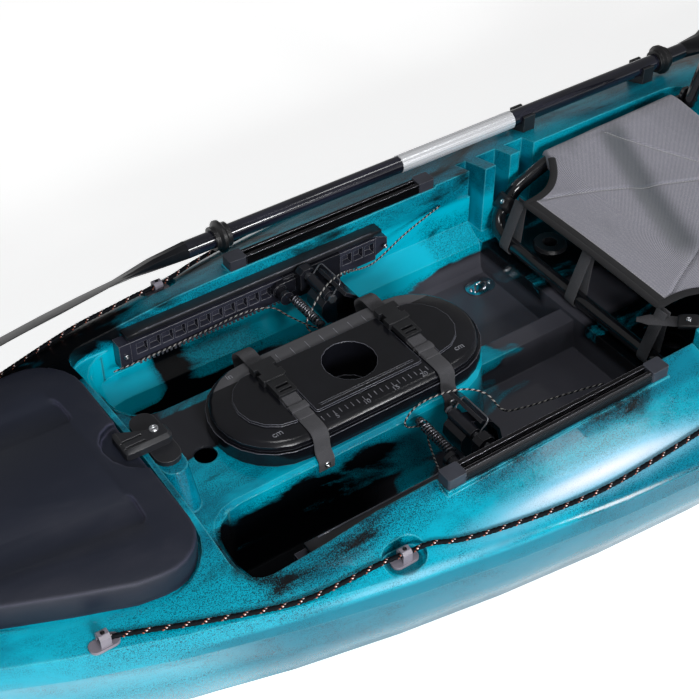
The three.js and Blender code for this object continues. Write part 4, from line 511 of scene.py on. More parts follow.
# Steering lines: a 2.6 mm flecked cord on each side, from near the cockpit's wall, in loose
# loops over the pedal and round its drum, and on along the foot rail past its front end.
line_radius = 0.0013
line_sides = 10
line_fleck, line_fleck_share = 0.009, 0.44
line_starts = {
    "port": [(0.216, 0.250, 0.292), (0.262, 0.224, 0.275), (0.325, 0.205, 0.268)],
    "starboard": [(0.121, 0.256, 0.255), (0.205, 0.236, 0.247), (0.290, 0.211, 0.238)],
}
line_route = [
    (0.345, 0.190, 0.262),
    (0.362, 0.168, 0.286),
    (0.390, 0.155, 0.300),
    (0.425, 0.143, 0.300),
    (0.458, 0.130, 0.282),
    (0.472, 0.126, 0.258),
    (0.464, 0.1225, 0.240),
    (0.446, 0.122, 0.231),
    (0.434, 0.128, 0.228),
    (0.446, 0.148, 0.225),
    (0.464, 0.190, 0.226),
    (0.476, 0.214, 0.231),
    (0.510, 0.229, 0.232),
    (0.600, 0.235, 0.224),
    (0.700, 0.2365, 0.220),
    (0.720, 0.2378, 0.219),
    (0.745, 0.2378, 0.219),
]
line_steps = 16
line_front_stretches = 5
line_reference = (0.62, -0.35, 0.70)
line_black, line_white = paint(20, 20, 23), paint(226, 224, 220)
line_finish = cord_finish(
    "steering_cord", line_radius, line_black, [line_white], line_fleck, line_fleck_share
)


def steering_cord(name, path, bodies, replaced):
    """A stretch of the line: it rides on one body, or bends between two."""
    body = bodies[0] if len(bodies) == 1 else None
    across = across_line(path, line_reference)
    section = round_section(line_radius, line_sides)
    piece = carried(name, path, section, across, line_finish, body, "cord", [replaced])
    if not body:
        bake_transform(piece)


for side_name, mirror in sides:
    start = line_starts[side_name]
    whole = route_curve(np.array(start + line_route) * (1, mirror, 1), line_steps)
    leaves = len(start) * line_steps
    returns = (len(start) + len(line_route) - line_front_stretches) * line_steps
    slider = f"{side_name}_slider"
    replaced = f"{side_name}_steering_line"
    steering_cord(f"{side_name}_line_rear_run", whole[: leaves + 1], ("hull", slider), replaced)
    steering_cord(f"{side_name}_line_loops", whole[leaves : returns + 1], (slider,), replaced)
    steering_cord(f"{side_name}_line_front_run", whole[returns:], (slider, "hull"), replaced)

# Hull: one rotomoulded polyethylene shell, glossy teal with black swirled into it, most on the
# foredeck, and pale streaks along the near side deck. Painted light lies over that: painted
# shade that blackens the floor, the footwells, the bay under the seat, the middle eyes' recesses
# and the outer side; a grey painted sheen on the floor; a lighter teal painted where light falls
# on the starboard wall and two patches of the wells; a painted gleam with a white core along the
# streaks; and a painted highlight on the rounded edges. Its skin has the faint orange peel of the
# mould.
hull_teal = paint(0, 164, 190)
hull_deep = paint(0, 118, 143)
hull_lit_teal = paint(0, 186, 214)
hull_black = paint(5, 8, 12)
hull_floor_sheen = paint(72, 72, 80)
hull_pale_and_gleam = paint(132, 200, 228)
hull_gleam_white = paint(238, 243, 252)
hull_fleck_and_shade = paint(0, 34, 48)
hull_edge_highlight = paint(96, 222, 238)
hull_edge_radius = 0.004
weld_reach = 0.00001


def dress(finish, *names, sharp=35):
    """Gives a finish to nodes of the frame, and shades their facets as the curves they stand
    for: edges under sharp degrees turn smooth, sharper ones stay."""
    for name in names:
        node = nodes[name]
        for slot in node.material_slots:
            slot.material = finish.material
        node.data.polygons.foreach_set("use_smooth", [True] * len(node.data.polygons))
        weld = node.modifiers.new("weld", "WELD")
        weld.merge_threshold = weld_reach
        split = node.modifiers.new("split", "EDGE_SPLIT")
        split.split_angle = math.radians(sharp)


hull_finish = Finish("rotomoulded_teal", Specular_IOR_Level=0.22, Coat_Roughness=0.08)
hull_place = hull_finish.place()
x, y, z = hull_finish.split(hull_place)
swirl = hull_finish.noise(hull_finish.stretched(hull_place, (1.6, 3.6, 3.6)), 2.6, 7.0, 0.62, 0.8)
cloud = hull_finish.noise(hull_finish.stretched(hull_place, (1.0, 2.4, 2.4)), 4.3, 5.0, 0.6, 0.4)
speckle = hull_finish.noise(hull_place, 620.0, 3.0, 0.8)
in_cockpit = x.band(-0.43, 0.80, 0.01) * abs(y).band(-1.0, 0.262, 0.01)
floor_low = in_cockpit * z.band(0.108, 0.135, 0.02)
wells_front = in_cockpit * x.band(0.52, 0.82, 0.10) * z.band(0.108, 0.215, 0.04)
bay = in_cockpit * x.band(-0.43, 0.13, 0.04) * z.band(0.108, 0.20, 0.04)
wall_starboard = x.band(0.02, 0.60, 0.05) * y.band(-0.275, -0.225, 0.01) * z.band(0.135, 0.235, 0.015)
fore_starboard = x.band(0.80, 1.9, 0.14) * y.band(-0.7, -0.20, 0.08) * z.eased(0.2, 0.25)
side_starboard = y.band(-0.7, -0.255, 0.02) * z.eased(0.25, 0.27)
ridge_front = x.band(0.665, 0.765, 0.02) * y.band(-0.17, -0.010, 0.02) * z.eased(0.2, 0.22)
mount_side = abs(y).band(0.09, 0.13, 0.01) * x.band(0.27, 0.74, 0.03) * z.eased(0.2, 0.225)
outside = abs(y).eased(0.27, 0.30) * (1 - z.eased(0.235, 0.245))
well_patch = 1 - ((x - 0.452) * 16.0).hypotenuse((y - 0.095) * 20.0).eased(0.4, 1.1)
well_patch = well_patch * (1 - z.eased(0.130, 0.150))
well_corner = x.band(0.69, 0.86, 0.03) * y.band(-0.36, -0.20, 0.03) * z.band(0.14, 0.235, 0.02)
floor_ridge = x.band(-0.05, 0.19, 0.03) * y.band(-0.05, 0.03, 0.02) * z.band(0.12, 0.18, 0.02)
deep_band = x.band(0.08, 0.46, 0.05) * y.band(0.25, 0.300, 0.02) * z.eased(0.24, 0.25)
deck_smear = x.band(0.16, 0.78, 0.06) * y.band(0.245, 0.292, 0.03) * z.eased(0.24, 0.25)
# Weights on the swirl: on the floor, the footwells' fronts, the bay and the floor ridge they add black as
# painted shade; on the starboard wall, the well patch and the well corner they take it away, where a lighter
# teal is painted instead.
bias = floor_low * 0.30 + wells_front * 0.30 + bay * 0.26 + fore_starboard * 0.22 + side_starboard * 0.08
bias = bias + ridge_front * 0.4 + (deck_smear + deep_band * 0.2) * 0.12 + floor_ridge * 0.25 - outside * 0.10
bias = bias - wall_starboard * 0.22 - mount_side * 0.20 - well_patch * 0.42 - well_corner * 0.6
bias = bias + (speckle - 0.5) * y.eased(0.24, 0.26) * 0.3
eye_across = abs(y) - eye_places[1][1]
eye_along = x - eye_places[1][0]
eye_recess = 1 - (eye_along * 37.0).hypotenuse(eye_across * 40.0).eased(0.85, 1.0)
smudge = 1 - ((x - 0.19) * 30.0).hypotenuse((y - 0.305) * 55.0).eased(0.1, 1.6)
dark = (swirl + bias).eased(0.59, 0.73).most(smudge * swirl.eased(0.38, 0.56) * 0.8)
grain = speckle.eased(0.45, 0.62) * (swirl + bias).eased(0.34, 0.58) * 0.9
deep = cloud.eased(0.40, 0.62) * (1 - wall_starboard) * (1 - x.eased(0.72, 0.82) * y.eased(0.18, 0.24))
# The outer side also takes the deeper teal, as painted shade.
deep = deep.most(outside * 0.85).most(deep_band * 0.9)
# The streaks are pale plastic with a painted gleam in them, and their white core is a painted highlight.
streak_across = y - 0.357 + (x - 0.33) * 0.06
streak = 1 - ((x - 0.31) * 3.0).hypotenuse(streak_across * 27.0).eased(0.0, 1.1)
gleam_core = 1 - ((x - 0.31) * 6.5).hypotenuse(streak_across * 85.0).eased(0.0, 1.3)
rim_across = y - 0.409 + (x - 0.37) * 0.17
rim_streak = 1 - ((x - 0.64) * 3.0).hypotenuse(rim_across * 48.0).eased(0.3, 1.2)
on_deck = y.eased(0.29, 0.315) * z.eased(0.243, 0.252)
pale = (streak.most(rim_streak * 0.8) + cloud * 0.5 - 0.30).eased(0.0, 0.85) * on_deck
# Painted shade: the middle eyes' recesses and the outer side turn dark teal.
recess_and_side_shade = (eye_recess * z.eased(0.24, 0.25) * 0.7).most(outside * 0.22)
# A grey painted sheen takes the place of black on the floor behind the console, on the floor ridge and a
# little on the ridge front.
floor_sheen_share = (floor_low * (1 - x.eased(0.40, 0.55))).most(ridge_front * 0.25).most(floor_ridge)
hull_normal, hull_edge = hull_finish.edges(hull_edge_radius)
hull_colour = hull_finish.layered(
    hull_teal,
    (deep, hull_deep),
    # lighter teal painted where light falls: the starboard wall, the well patch and the well corner
    ((wall_starboard * 0.9).most(well_patch).most(well_corner), hull_lit_teal),
    (recess_and_side_shade, hull_fleck_and_shade),
    (pale, hull_pale_and_gleam),
    (gleam_core.most(rim_streak * 0.4) * on_deck, hull_gleam_white),
    (grain * (1 - pale * 0.8), hull_fleck_and_shade),
    (dark, hull_finish.mixed(floor_sheen_share, hull_black, hull_floor_sheen)),
    # painted highlight along the rounded edges
    (hull_edge * 0.5 * (1 - dark), hull_edge_highlight),
)
peel = hull_finish.noise(hull_place, 70.0, 3.0, 0.6)
hull_finish.wear(
    Base_Color=hull_colour,
    Coat_Weight=(1 - outside.most(side_starboard)) * 0.25,
    Roughness=hull_finish.noise(hull_place, 14.0, 4.0) * 0.14 + 0.10 + side_starboard * 0.25,
    Normal=hull_finish.bump(peel, 0.0008, 0.4, hull_normal),
)
dress(hull_finish, "hull")


# Moulded black parts: glass-filled nylon and ABS with a fine spark-eroded grain, with a pale
# painted highlight along their rounded edges. Each finish differs in colour, gloss and grain.
def moulded(name, colour, roughness, grain_scale, edge_radius, edge_share, highlight_lift=0.05):
    """Plastic out of a grained mould: cloudy colour, a painted highlight on its rounded edges, and a fine
    bump.
    """
    finish = Finish(name)
    place = finish.place()
    normal, edge = finish.edges(edge_radius)
    cloudy = finish.noise(place, 22.0, 5.0, 0.6).eased(0.3, 0.75)
    grain = finish.noise(place, grain_scale, 2.0, 0.6)
    finish.wear(
        Base_Color=finish.layered(
            colour,
            (cloudy, tuple(1.5 * part + 0.001 for part in colour)),
            # painted highlight: the rounded edges turn paler
            (edge * edge_share, tuple(2.5 * part + highlight_lift for part in colour)),
        ),
        Roughness=finish.noise(place, 9.0, 4.0, 0.6) * 0.22 + (roughness - 0.11),
        Normal=finish.bump(grain, 0.0001, 0.6, normal),
    )
    return finish


# Hatch cover: a matt blue-black moulding with a broad crown and two shallow channels. Dust
# lies in its grain, and gear set down on it has left short pale scuffs along the boat. A
# lavender highlight is painted on its rounded edges.
cover_finish = Finish("hatch_cover_matt", Specular_IOR_Level=0.4)
cover_place = cover_finish.place()
cover_normal, cover_edge_highlight = cover_finish.edges(0.007)
dust = cover_finish.noise(cover_finish.stretched(cover_place, (1.0, 2.5, 2.5)), 7.0, 6.0, 0.65)
fine = cover_finish.noise(cover_place, 1400.0, 2.0, 0.7)
scuffs = cover_finish.noise(cover_finish.stretched(cover_place, (26.0, 190.0, 60.0)), 1.0, 2.0, 0.5)
scuff_here = cover_finish.noise(cover_place, 9.0, 2.0).eased(0.6, 0.7)
cover_shade = cover_finish.layered(
    paint(22, 27, 41),
    (dust.eased(0.45, 0.8), paint(36, 38, 50)),
    (fine.eased(0.4, 0.8) * 0.25, paint(44, 46, 60)),
    (scuffs.eased(0.70, 0.76) * scuff_here * 0.6, paint(120, 122, 130)),
    # painted highlight, lavender, on the rounded edges
    (cover_edge_highlight * 0.5, paint(96, 96, 124)),
)
cover_grain = cover_finish.bump(fine, 0.00018, 0.7, cover_normal)
cover_finish.wear(Base_Color=cover_shade, Roughness=dust * 0.16 + 0.38, Normal=cover_grain)
dress(cover_finish, "hatch_cover")


# Hatch hinge: a bright steel bracket and pin at the bow end of the cover, bolted to the deck.
def toned(name, colours, noise, stretch=None, soft=None, rough=None, edge=None, fine=None, **constants):
    """Metal, paint or thread: one noise takes the first colour to the second, softly between
    two of its values, and raises the roughness by rough's first number over its second. edge
    is a radius and, for a painted highlight on the edges, a share and a colour. fine is a bump's
    scale, depth and strength, and takes the same noise where the scale is None."""
    finish = Finish(name, **constants)
    place = finish.place()
    tone = finish.noise(finish.stretched(place, stretch) if stretch else place, *noise)
    colour = finish.mixed(tone.eased(*soft) if soft else tone, *colours)
    normal = None
    if edge:
        normal, wear_and_highlight = finish.edges(edge[0])
        colour = finish.layered(colour, *[(wear_and_highlight * share, coat) for share, coat in edge[1:]])
    if rough:
        finish.wear(Roughness=tone * rough[0] + rough[1])
    if fine:
        height = finish.noise(place, fine[0], 2.0) if fine[0] else tone
        finish.wear(Normal=finish.bump(height, *fine[1:], normal))
    finish.wear(Base_Color=colour)
    return finish


steel_finish = toned(
    "satin_steel",
    (paint(178, 180, 184), paint(214, 216, 220)),
    (1.0, 3.0, 0.6),
    stretch=(30.0, 900.0, 900.0),
    soft=(0.3, 0.7),
    rough=(0.14, 0.2),
    edge=(0.0008,),
    fine=(None, 0.00004, 0.5),
    Metallic=1.0,
)
dress(steel_finish, "hatch_hinge")

# Latch: a lever of satin black nylon that turns on a screw in its base plate. Its nose presses
# on the cover, and two ridges give the thumb a hold.
satin_finish = moulded("satin_nylon", paint(24, 25, 29), 0.38, 900.0, 0.0016, 0.6, 0.12)
dress(satin_finish, "latch_lever", "latch_plate")


def dome_screw(name, centre, axis, radius, body, finish):
    """A pan-head screw with a six-sided socket: its profile runs from the rim over a dome into
    the socket, and the socket's radius follows a hexagon, cos 30 over cos of the angle from the
    middle of each side."""
    sides_round = 36
    angle = 2 * np.pi * np.arange(sides_round) / sides_round
    hexagon = math.cos(math.pi / 6) / np.cos((angle % (np.pi / 3)) - np.pi / 6)
    rounds = np.array([1.0, 1.0, 0.93, 0.8, 0.62, 0.0, 0.0])
    sockets = np.array([0.0, 0.0, 0.0, 0.0, 0.0, 0.5, 0.46])
    heights = np.array([-0.05, 0.2, 0.42, 0.54, 0.6, 0.58, 0.18])
    r = radius * (rounds[:, None] + sockets[:, None] * hexagon[None])
    axis = np.asarray(axis, float) / np.linalg.norm(axis)
    side = np.cross(axis, (0.31, 0.87, 0.38))
    side /= np.linalg.norm(side)
    spin = np.cos(angle)[:, None] * side + np.sin(angle)[:, None] * np.cross(axis, side)
    rings = np.asarray(centre) + r[..., None] * spin + (heights * radius)[:, None, None] * axis
    return mesh_piece(name, *capped(rings), finish, body, "steel")


latch_place = (0.794, -0.006)
latch_screw_radius, latch_screw_sink = 0.0068, 0.0006
latch_screw_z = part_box("latch_lever")[1][2] - latch_screw_sink
dome_screw("latch_screw", (*latch_place, latch_screw_z), (0, 0, 1), latch_screw_radius, "latch", steel_finish)

# Console: a gloss black box hung in the hull's ridge and a lid over it with a cup holder. The
# lid is also a fish ruler: centimetres moulded along its port edge, inches along a grey strip
# to starboard.
console_finish = Finish("console_gloss", Specular_IOR_Level=0.5)
console_place = console_finish.place()
_, y, z = console_finish.split(console_place)
console_normal, console_edge_highlight = console_finish.edges(0.0020)
strip = y.band(-0.0865, -0.0570, 0.0006) * z.eased(0.2795, 0.2805)
hazy = console_finish.noise(console_place, 12.0, 5.0, 0.6)
console_shade = console_finish.layered(
    paint(11, 12, 16),
    (hazy.eased(0.3, 0.8), paint(17, 18, 24)),
    (strip * 0.9, paint(84, 84, 88)),
    # painted highlight on the rounded edges
    (console_edge_highlight * 0.6, paint(156, 158, 172)),
)
console_grain = console_finish.noise(console_place, 260.0, 2.0)
console_finish.wear(
    Base_Color=console_shade,
    Roughness=hazy * 0.16 + 0.14,
    Normal=console_finish.bump(console_grain, 0.00012, 0.5, console_normal),
)
dress(console_finish, "pod_box", "pod_lid")

lid_field_z = 0.281
scale_zero_x = 0.606
scale_port_y = 0.0862
mark_height = 0.0005
tick_size = (0.0009, 0.0085, mark_height)
tick_inset = 0.0125
numeral_size, numeral_inset = 0.0115, 0.0010
inch = 0.0254
inch_first_x = 0.560
inch_port_y = -0.0585
inch_size = (0.0009, 0.016, mark_height)
unit_size = 0.014


def row_along(xs, y, z):
    """Places along the boat, all at one y and z."""
    return np.stack([xs, np.full(len(xs), y), np.full(len(xs), z)], 1)


def bars(places, size):
    """One small box on each place: six faces on the eight sums of half sizes."""
    corners = np.array([(i, j, k) for k in (0, 1) for i, j in ((0, 0), (1, 0), (1, 1), (0, 1))], float)
    points = places[:, None] + (corners - (0.5, 0.5, 0.0)) * size
    box_sides = np.array([(3, 2, 1, 0), (4, 5, 6, 7), (0, 1, 5, 4), (1, 2, 6, 5), (2, 3, 7, 6), (3, 0, 4, 7)])
    return points.reshape(-1, 3), (np.arange(len(places))[:, None, None] * 8 + box_sides).reshape(-1, 4)


def lettering(words):
    """Raised figures, each (text, x, y, size), read from port: a text's own right runs to the
    stern and its top points to starboard."""
    points, faces = [], []
    count = 0
    for order, (text, at_x, at_y, size) in enumerate(words):
        curve = bpy.data.curves.new(f"figures_{order}", "FONT")
        curve.body = text
        curve.size = size
        curve.extrude = mark_height / 2
        curve.align_x = "CENTER"
        holder = in_scene(f"figures_{order}", curve)
        bpy.context.view_layer.update()
        made = bpy.data.meshes.new_from_object(holder)
        flat = np.empty(len(made.vertices) * 3)
        made.vertices.foreach_get("co", flat)
        flat = flat.reshape(-1, 3)
        points.append(flat * (-1, -1, 1) + (at_x, at_y, lid_field_z + mark_height / 2))
        faces += [[count + i for i in polygon.vertices] for polygon in made.polygons]
        count += len(flat)
        bpy.data.objects.remove(holder)
        bpy.data.curves.remove(curve)
        bpy.data.meshes.remove(made)
    return np.vstack(points), faces


ticks = np.arange(3, 22)
tick_rows = [
    (row_along(scale_zero_x - 0.01 * ticks, scale_port_y - tick_inset, lid_field_z), tick_size),
    (row_along(inch_first_x - inch * np.arange(7), inch_port_y - 0.008, lid_field_z), inch_size),
]
figures = [
    (str(k), scale_zero_x - 0.01 * k, scale_port_y - numeral_inset, numeral_size) for k in (5, 10, 15, 20)
]
units = (("cm", 0.644, 0.068), ("cm", 0.330, 0.068), ("in", 0.640, -0.067))
figures += [(*unit, unit_size) for unit in units]
mark_points, mark_faces = np.empty((0, 3)), []
for points, faces in [bars(*row) for row in tick_rows] + [lettering(figures)]:
    mark_faces += [[len(mark_points) + corner for corner in face] for face in faces]
    mark_points = np.vstack([mark_points, points])
mark_colours = (paint(96, 97, 104), paint(138, 139, 146))
mark_finish = toned("raised_marks", mark_colours, (160.0, 2.0), soft=(0.3, 0.7), Roughness=0.4)
mesh_piece("lid_scale_marks", mark_points, [mark_faces], mark_finish, "lid", "cap_grey", flat=True)

# Lid beads: a double bead runs along the port edge of the lid's middle panel, moulded with
# the lid, and each bead thins towards its ends.
panel_top_z = 0.285
bead_ends_x, bead_y = (0.404, 0.566), 0.0535
bead_radius, bead_gap = 0.0010, 0.0034
bead_points = 60
bead_taper = 0.18
bead_path = row_along(np.linspace(*bead_ends_x, bead_points), bead_y, panel_top_z)
bead_ends = np.sin(np.pi * np.linspace(0, 1, bead_points)).clip(0, bead_taper)[:, None, None] / bead_taper
bead_rings = round_section(bead_radius, 12) * (0.25 + 0.75 * bead_ends)
for bead, inset in enumerate((0.0, bead_gap)):
    path = bead_path - (0, inset, 0)
    carried(f"lid_bead_{bead}", path, bead_rings, (0, 1, 0), console_finish, "lid", "gloss_black")

# Lid straps: 26 mm charcoal polypropylene webbing, screwed to the ridge at both ends, with a
# slack fold to starboard. Each passes under its buckle and doubles back through the slide.
strap_size = (0.026, 0.0017)
fold_size = (0.025, 0.0019)
keeper_size = (0.0285, 0.0013)
strap_screw_y, strap_screw_z, strap_screw_radius = 0.1112, 0.2325, 0.0052
strap_line = [
    (0.1103, 0.222),
    (0.1098, 0.240),
    (0.1015, 0.250),
    (0.0992, 0.258),
    (0.0987, 0.266),
    (0.0962, 0.2752),
    (0.0908, 0.2808),
    (0.084, 0.2826),
    (0.050, 0.2827),
    (0.0, 0.2827),
    (-0.050, 0.2827),
    (-0.084, 0.2827),
    (-0.1000, 0.2833),
    (-0.1143, 0.2763),
    (-0.1203, 0.266),
    (-0.1165, 0.254),
    (-0.1125, 0.243),
    (-0.1103, 0.222),
]
fold_line = [(0.0, 0.288), (0.008, 0.2895), (0.018, 0.288), (0.03, 0.2862), (0.046, 0.285), (0.062, 0.2848)]
keeper_line = [(0.034, 0.2815), (0.034, 0.2872), (0.040, 0.2882), (0.046, 0.2872), (0.046, 0.2815)]
strap_places = {"bow": 0.594, "stern": 0.376}


def woven(name, colour, rib):
    """Webbing on its own flat sheet: weft ribs across it and warp yarns along it, each a sine
    of the place over the yarn's pitch, with paler flecks where the yarn is worn."""
    finish = Finish(name, Sheen_Weight=0.06, Sheen_Roughness=0.6, Specular_IOR_Level=0.25)
    u, v, _ = finish.split(finish.uv())
    weft = (v * (2 * math.pi / rib)).sine() * 0.5 + 0.5
    warp = (u * (2 * math.pi / (rib * 0.9)) + v * (math.pi / rib)).sine() * 0.5 + 0.5
    weave = weft * 0.6 + warp * 0.4
    wear_and_highlight = finish.noise(finish.place(), 1300.0, 2.0, 0.7)
    soft = finish.noise(finish.place(), 45.0, 4.0, 0.6)
    shade = finish.layered(
        tuple(0.45 * part for part in colour),
        (weave * 0.6 + soft * 0.3, colour),
        (wear_and_highlight.eased(0.52, 0.8) * 0.8, tuple(2.2 * part + 0.01 for part in colour)),
    )
    finish.wear(Base_Color=shade, Roughness=soft * 0.1 + 0.8, Normal=finish.bump(weave, 0.0004, 0.8))
    return finish


strap_finish = woven("lid_webbing", paint(76, 76, 80), 0.0022)
buckle_finish = moulded("buckle_acetal", paint(21, 22, 25), 0.38, 800.0, 0.001, 0.55)
for end_name, strap_x in strap_places.items():
    for part, line, steps, spacing, size, replaced in (
        ("lid_strap", strap_line, 10, 0.0025, strap_size, [f"{end_name}_pod_strap"]),
        ("strap_fold", fold_line, 12, 0.0015, fold_size, ()),
        ("strap_keeper", keeper_line, 8, 0.001, keeper_size, ()),
    ):
        path = evenly(route_curve([(strap_x, *place) for place in line], steps), spacing)
        section = flat_section(*size)
        name = f"{end_name}_{part}"
        carried(name, path, section, (1, 0, 0), strap_finish, "lid", "webbing", replaced)
    for side_name, mirror in sides:
        name = f"{end_name}_strap_{side_name}_screw"
        screw_at = (strap_x, mirror * strap_screw_y, strap_screw_z)
        dome_screw(name, screw_at, (0, mirror, 0.0), strap_screw_radius, "lid", steel_finish)
dress(buckle_finish, "bow_pod_buckle", "stern_pod_buckle")

# Gear tracks: black anodised aluminium channels with a T-slot, screwed to the side decks
# through the slot's floor, their sawn ends closed with grey caps.
track_finish = toned(
    "black_anodised",
    (paint(26, 26, 29), paint(40, 40, 44)),
    (1.0, 3.0, 0.6),
    stretch=(6.0, 1500.0, 1500.0),
    soft=(0.35, 0.75),
    rough=(0.16, 0.2),
    # painted highlight: pale lines on the channel's rounded edges
    edge=(0.0013, (0.8, paint(196, 196, 208))),
    fine=(None, 0.00005, 0.6),
    Metallic=0.85,
    Coat_Weight=0.25,
    Coat_Roughness=0.12,
)
cap_finish = moulded("track_cap_grey", paint(46, 48, 56), 0.40, 900.0, 0.0016, 0.5)
track_floor_z = 0.2975
track_screw_xs, track_screw_y = (0.178, 0.325, 0.472), 0.2745
track_screw_radius = 0.0034
for side_name, mirror in sides:
    dress(track_finish, f"{side_name}_gear_track")
    dress(cap_finish, f"{side_name}_track_rear_cap", f"{side_name}_track_front_cap")
    for order, screw_x in enumerate(track_screw_xs):
        name = f"{side_name}_track_screw_{order}"
        screw_at = (screw_x, mirror * track_screw_y, track_floor_z)
        dome_screw(name, screw_at, (0, 0, 1), track_screw_radius, "hull", steel_finish)

# Foot rails: long black nylon mouldings with a row of square cells, a rack of small teeth
# under their inner edge and a lug at each end. A flange covers the top, with a lip inside it.
rail_finish = moulded("rail_nylon", paint(42, 43, 54), 0.24, 700.0, 0.0016, 1.0, 0.22)
rack_finish = moulded("rack_nylon", paint(66, 68, 76), 0.20, 900.0, 0.0008, 0.9)
tooth_xs = np.arange(0.300, 0.705, 0.0075)
tooth_size = (0.0035, 0.0030, 0.0045)
tooth_inset, tooth_drop = 0.0035, 0.0030
flange_ends_x = (0.252, 0.716)
flange_depth, flange_height = 0.0215, 0.0075
flange_y, flange_z = 0.2508, 0.2680
lip_radius, lip_inset, lip_sink = 0.0014, 0.002, 0.0003
rail_screw_inset, rail_screw_z = 0.010, 0.236
rail_screw_radius, rail_screw_rise = 0.0042, 0.0004
for side_name, mirror in sides:
    dress(rail_finish, f"{side_name}_foot_rail")
    rail_low, rail_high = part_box(f"{side_name}_foot_rail")
    inner_y = rail_low[1] if mirror > 0 else rail_high[1]
    tooth_row = row_along(tooth_xs, inner_y + mirror * tooth_inset, rail_low[2] - tooth_drop)
    teeth = bars(tooth_row, tooth_size)
    name = f"{side_name}_rail_rack"
    mesh_piece(name, teeth[0], [teeth[1]], rack_finish, "hull", "satin_black", flat=True)
    line = evenly(row_along(flange_ends_x, mirror * flange_y, flange_z), 0.02)
    section = flat_section(flange_depth, flange_height, 0.12, 3)
    carried(f"{side_name}_rail_flange", line, section, (0, 1, 0), satin_finish, "hull", "satin_black")
    lip = line[1:-1] + (0, -mirror * (flange_depth / 2 - lip_inset), flange_height / 2 - lip_sink)
    section = round_section(lip_radius, 12)
    carried(f"{side_name}_rail_lip", lip, section, (0, 1, 0), rack_finish, "hull", "satin_black")
    for order, screw_x in enumerate((rail_low[0] + rail_screw_inset, rail_high[0] - rail_screw_inset)):
        name = f"{side_name}_rail_screw_{order}"
        screw_at = (screw_x, inner_y - mirror * rail_screw_rise, rail_screw_z)
        dome_screw(name, screw_at, (0, -mirror, 0), rail_screw_radius, "hull", steel_finish)

# Pedals: a carriage on each rail holds a cord drum and a bar. The pedal tips on a steel shaft
# with a wire bail, and a compression spring round the bar brings it back.
pedal_finish = moulded("pedal_nylon", paint(20, 21, 27), 0.22, 700.0, 0.0014, 0.9, 0.10)
shaft_finish = moulded("pedal_steel", paint(130, 132, 138), 0.26, 900.0, 0.0006, 0.8)
shaft_finish.wear(Metallic=0.9)
wire_colours = (paint(88, 88, 94), paint(150, 150, 158))
wire_look = {"soft": (0.3, 0.7), "rough": (0.15, 0.2), "Metallic": 0.9}
spring_finish = toned("spring_steel", wire_colours, (300.0, 3.0), **wire_look)
spring_turns = 13
spring_radius, spring_wire = 0.0066, 0.00135
spring_rear_y, spring_front_y = 0.1302, 0.2052
spring_x, spring_z = 0.446, 0.245
wound = np.linspace(0.0, 1.0, spring_turns * 24 + 1)
turn_at = 2 * np.pi * spring_turns * wound
closed_turns = smooth_step(wound, -0.02, 0.09) * 0.5 + smooth_step(wound, 0.91, 1.02) * 0.5
run = 0.12 * closed_turns + 0.88 * wound
outward = np.stack([np.cos(turn_at), np.zeros_like(turn_at), np.sin(turn_at)], 1)
for side_name, mirror in sides:
    dress(pedal_finish, f"{side_name}_pedal", f"{side_name}_pedal_carriage")
    dress(shaft_finish, f"{side_name}_pedal_shaft")
    run_y = mirror * (spring_rear_y + (spring_front_y - spring_rear_y) * run)
    coil = np.stack([np.full_like(run, spring_x), run_y, np.full_like(run, spring_z)], 1)
    coil = coil + spring_radius * outward
    name, replaced = f"{side_name}_return_spring", [f"{side_name}_pedal_spring"]
    wire = round_section(spring_wire, 10)
    carried(name, coil, wire, outward, spring_finish, f"{side_name}_slider", "steel", replaced)

# Deck eyes: six grey nylon saddles for the deck lines, the middle pair let into round
# recesses, each held by one screw through its crown.
eye_finish = moulded("deck_eye_nylon", paint(112, 108, 118), 0.34, 900.0, 0.001, 0.6)
oxide_colours = (paint(14, 14, 16), paint(40, 40, 44))
dark_screw = toned("black_oxide_screw", oxide_colours, (500.0, 3.0), rough=(0.2, 0.25), Metallic=0.8)
eye_screw_radius, eye_screw_sink = 0.0030, 0.0004
for name in [f"{side_name}_{end}_padeye" for side_name, _ in sides for end in ("bow", "middle", "stern")]:
    dress(eye_finish, name)
    low, high = [np.array(corner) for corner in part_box(name)]
    crown = (*(low + high)[:2] / 2, high[2] - eye_screw_sink)
    dome_screw(f"{name}_screw", crown, (0, 0, 1), eye_screw_radius, "hull", dark_screw)

# Floor eye of polished steel, the drain ring under the seat, the carrying handles of moulded
# cord, and the two clips that hold the paddle on the starboard deck.
mirror_colours = (paint(196, 198, 204), paint(226, 228, 232))
polished_finish = toned("polished_steel", mirror_colours, (120.0, 3.0), rough=(0.1, 0.08), Metallic=1.0)
dress(polished_finish, "floor_padeye")
dress(satin_finish, "drain_ring", "bow_handle", "stern_handle", "bow_paddle_clip", "stern_paddle_clip")
floor_eye = np.array(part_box("floor_padeye")).mean(axis=0)
floor_screw_reach, floor_screw_z, floor_screw_radius = 0.0195, 0.1132, 0.0034
for order, across in enumerate((-floor_screw_reach, floor_screw_reach)):
    name = f"floor_eye_screw_{order}"
    screw_at = (floor_eye[0] + across, floor_eye[1], floor_screw_z)
    dome_screw(name, screw_at, (0, 0, 1), floor_screw_radius, "hull", polished_finish)

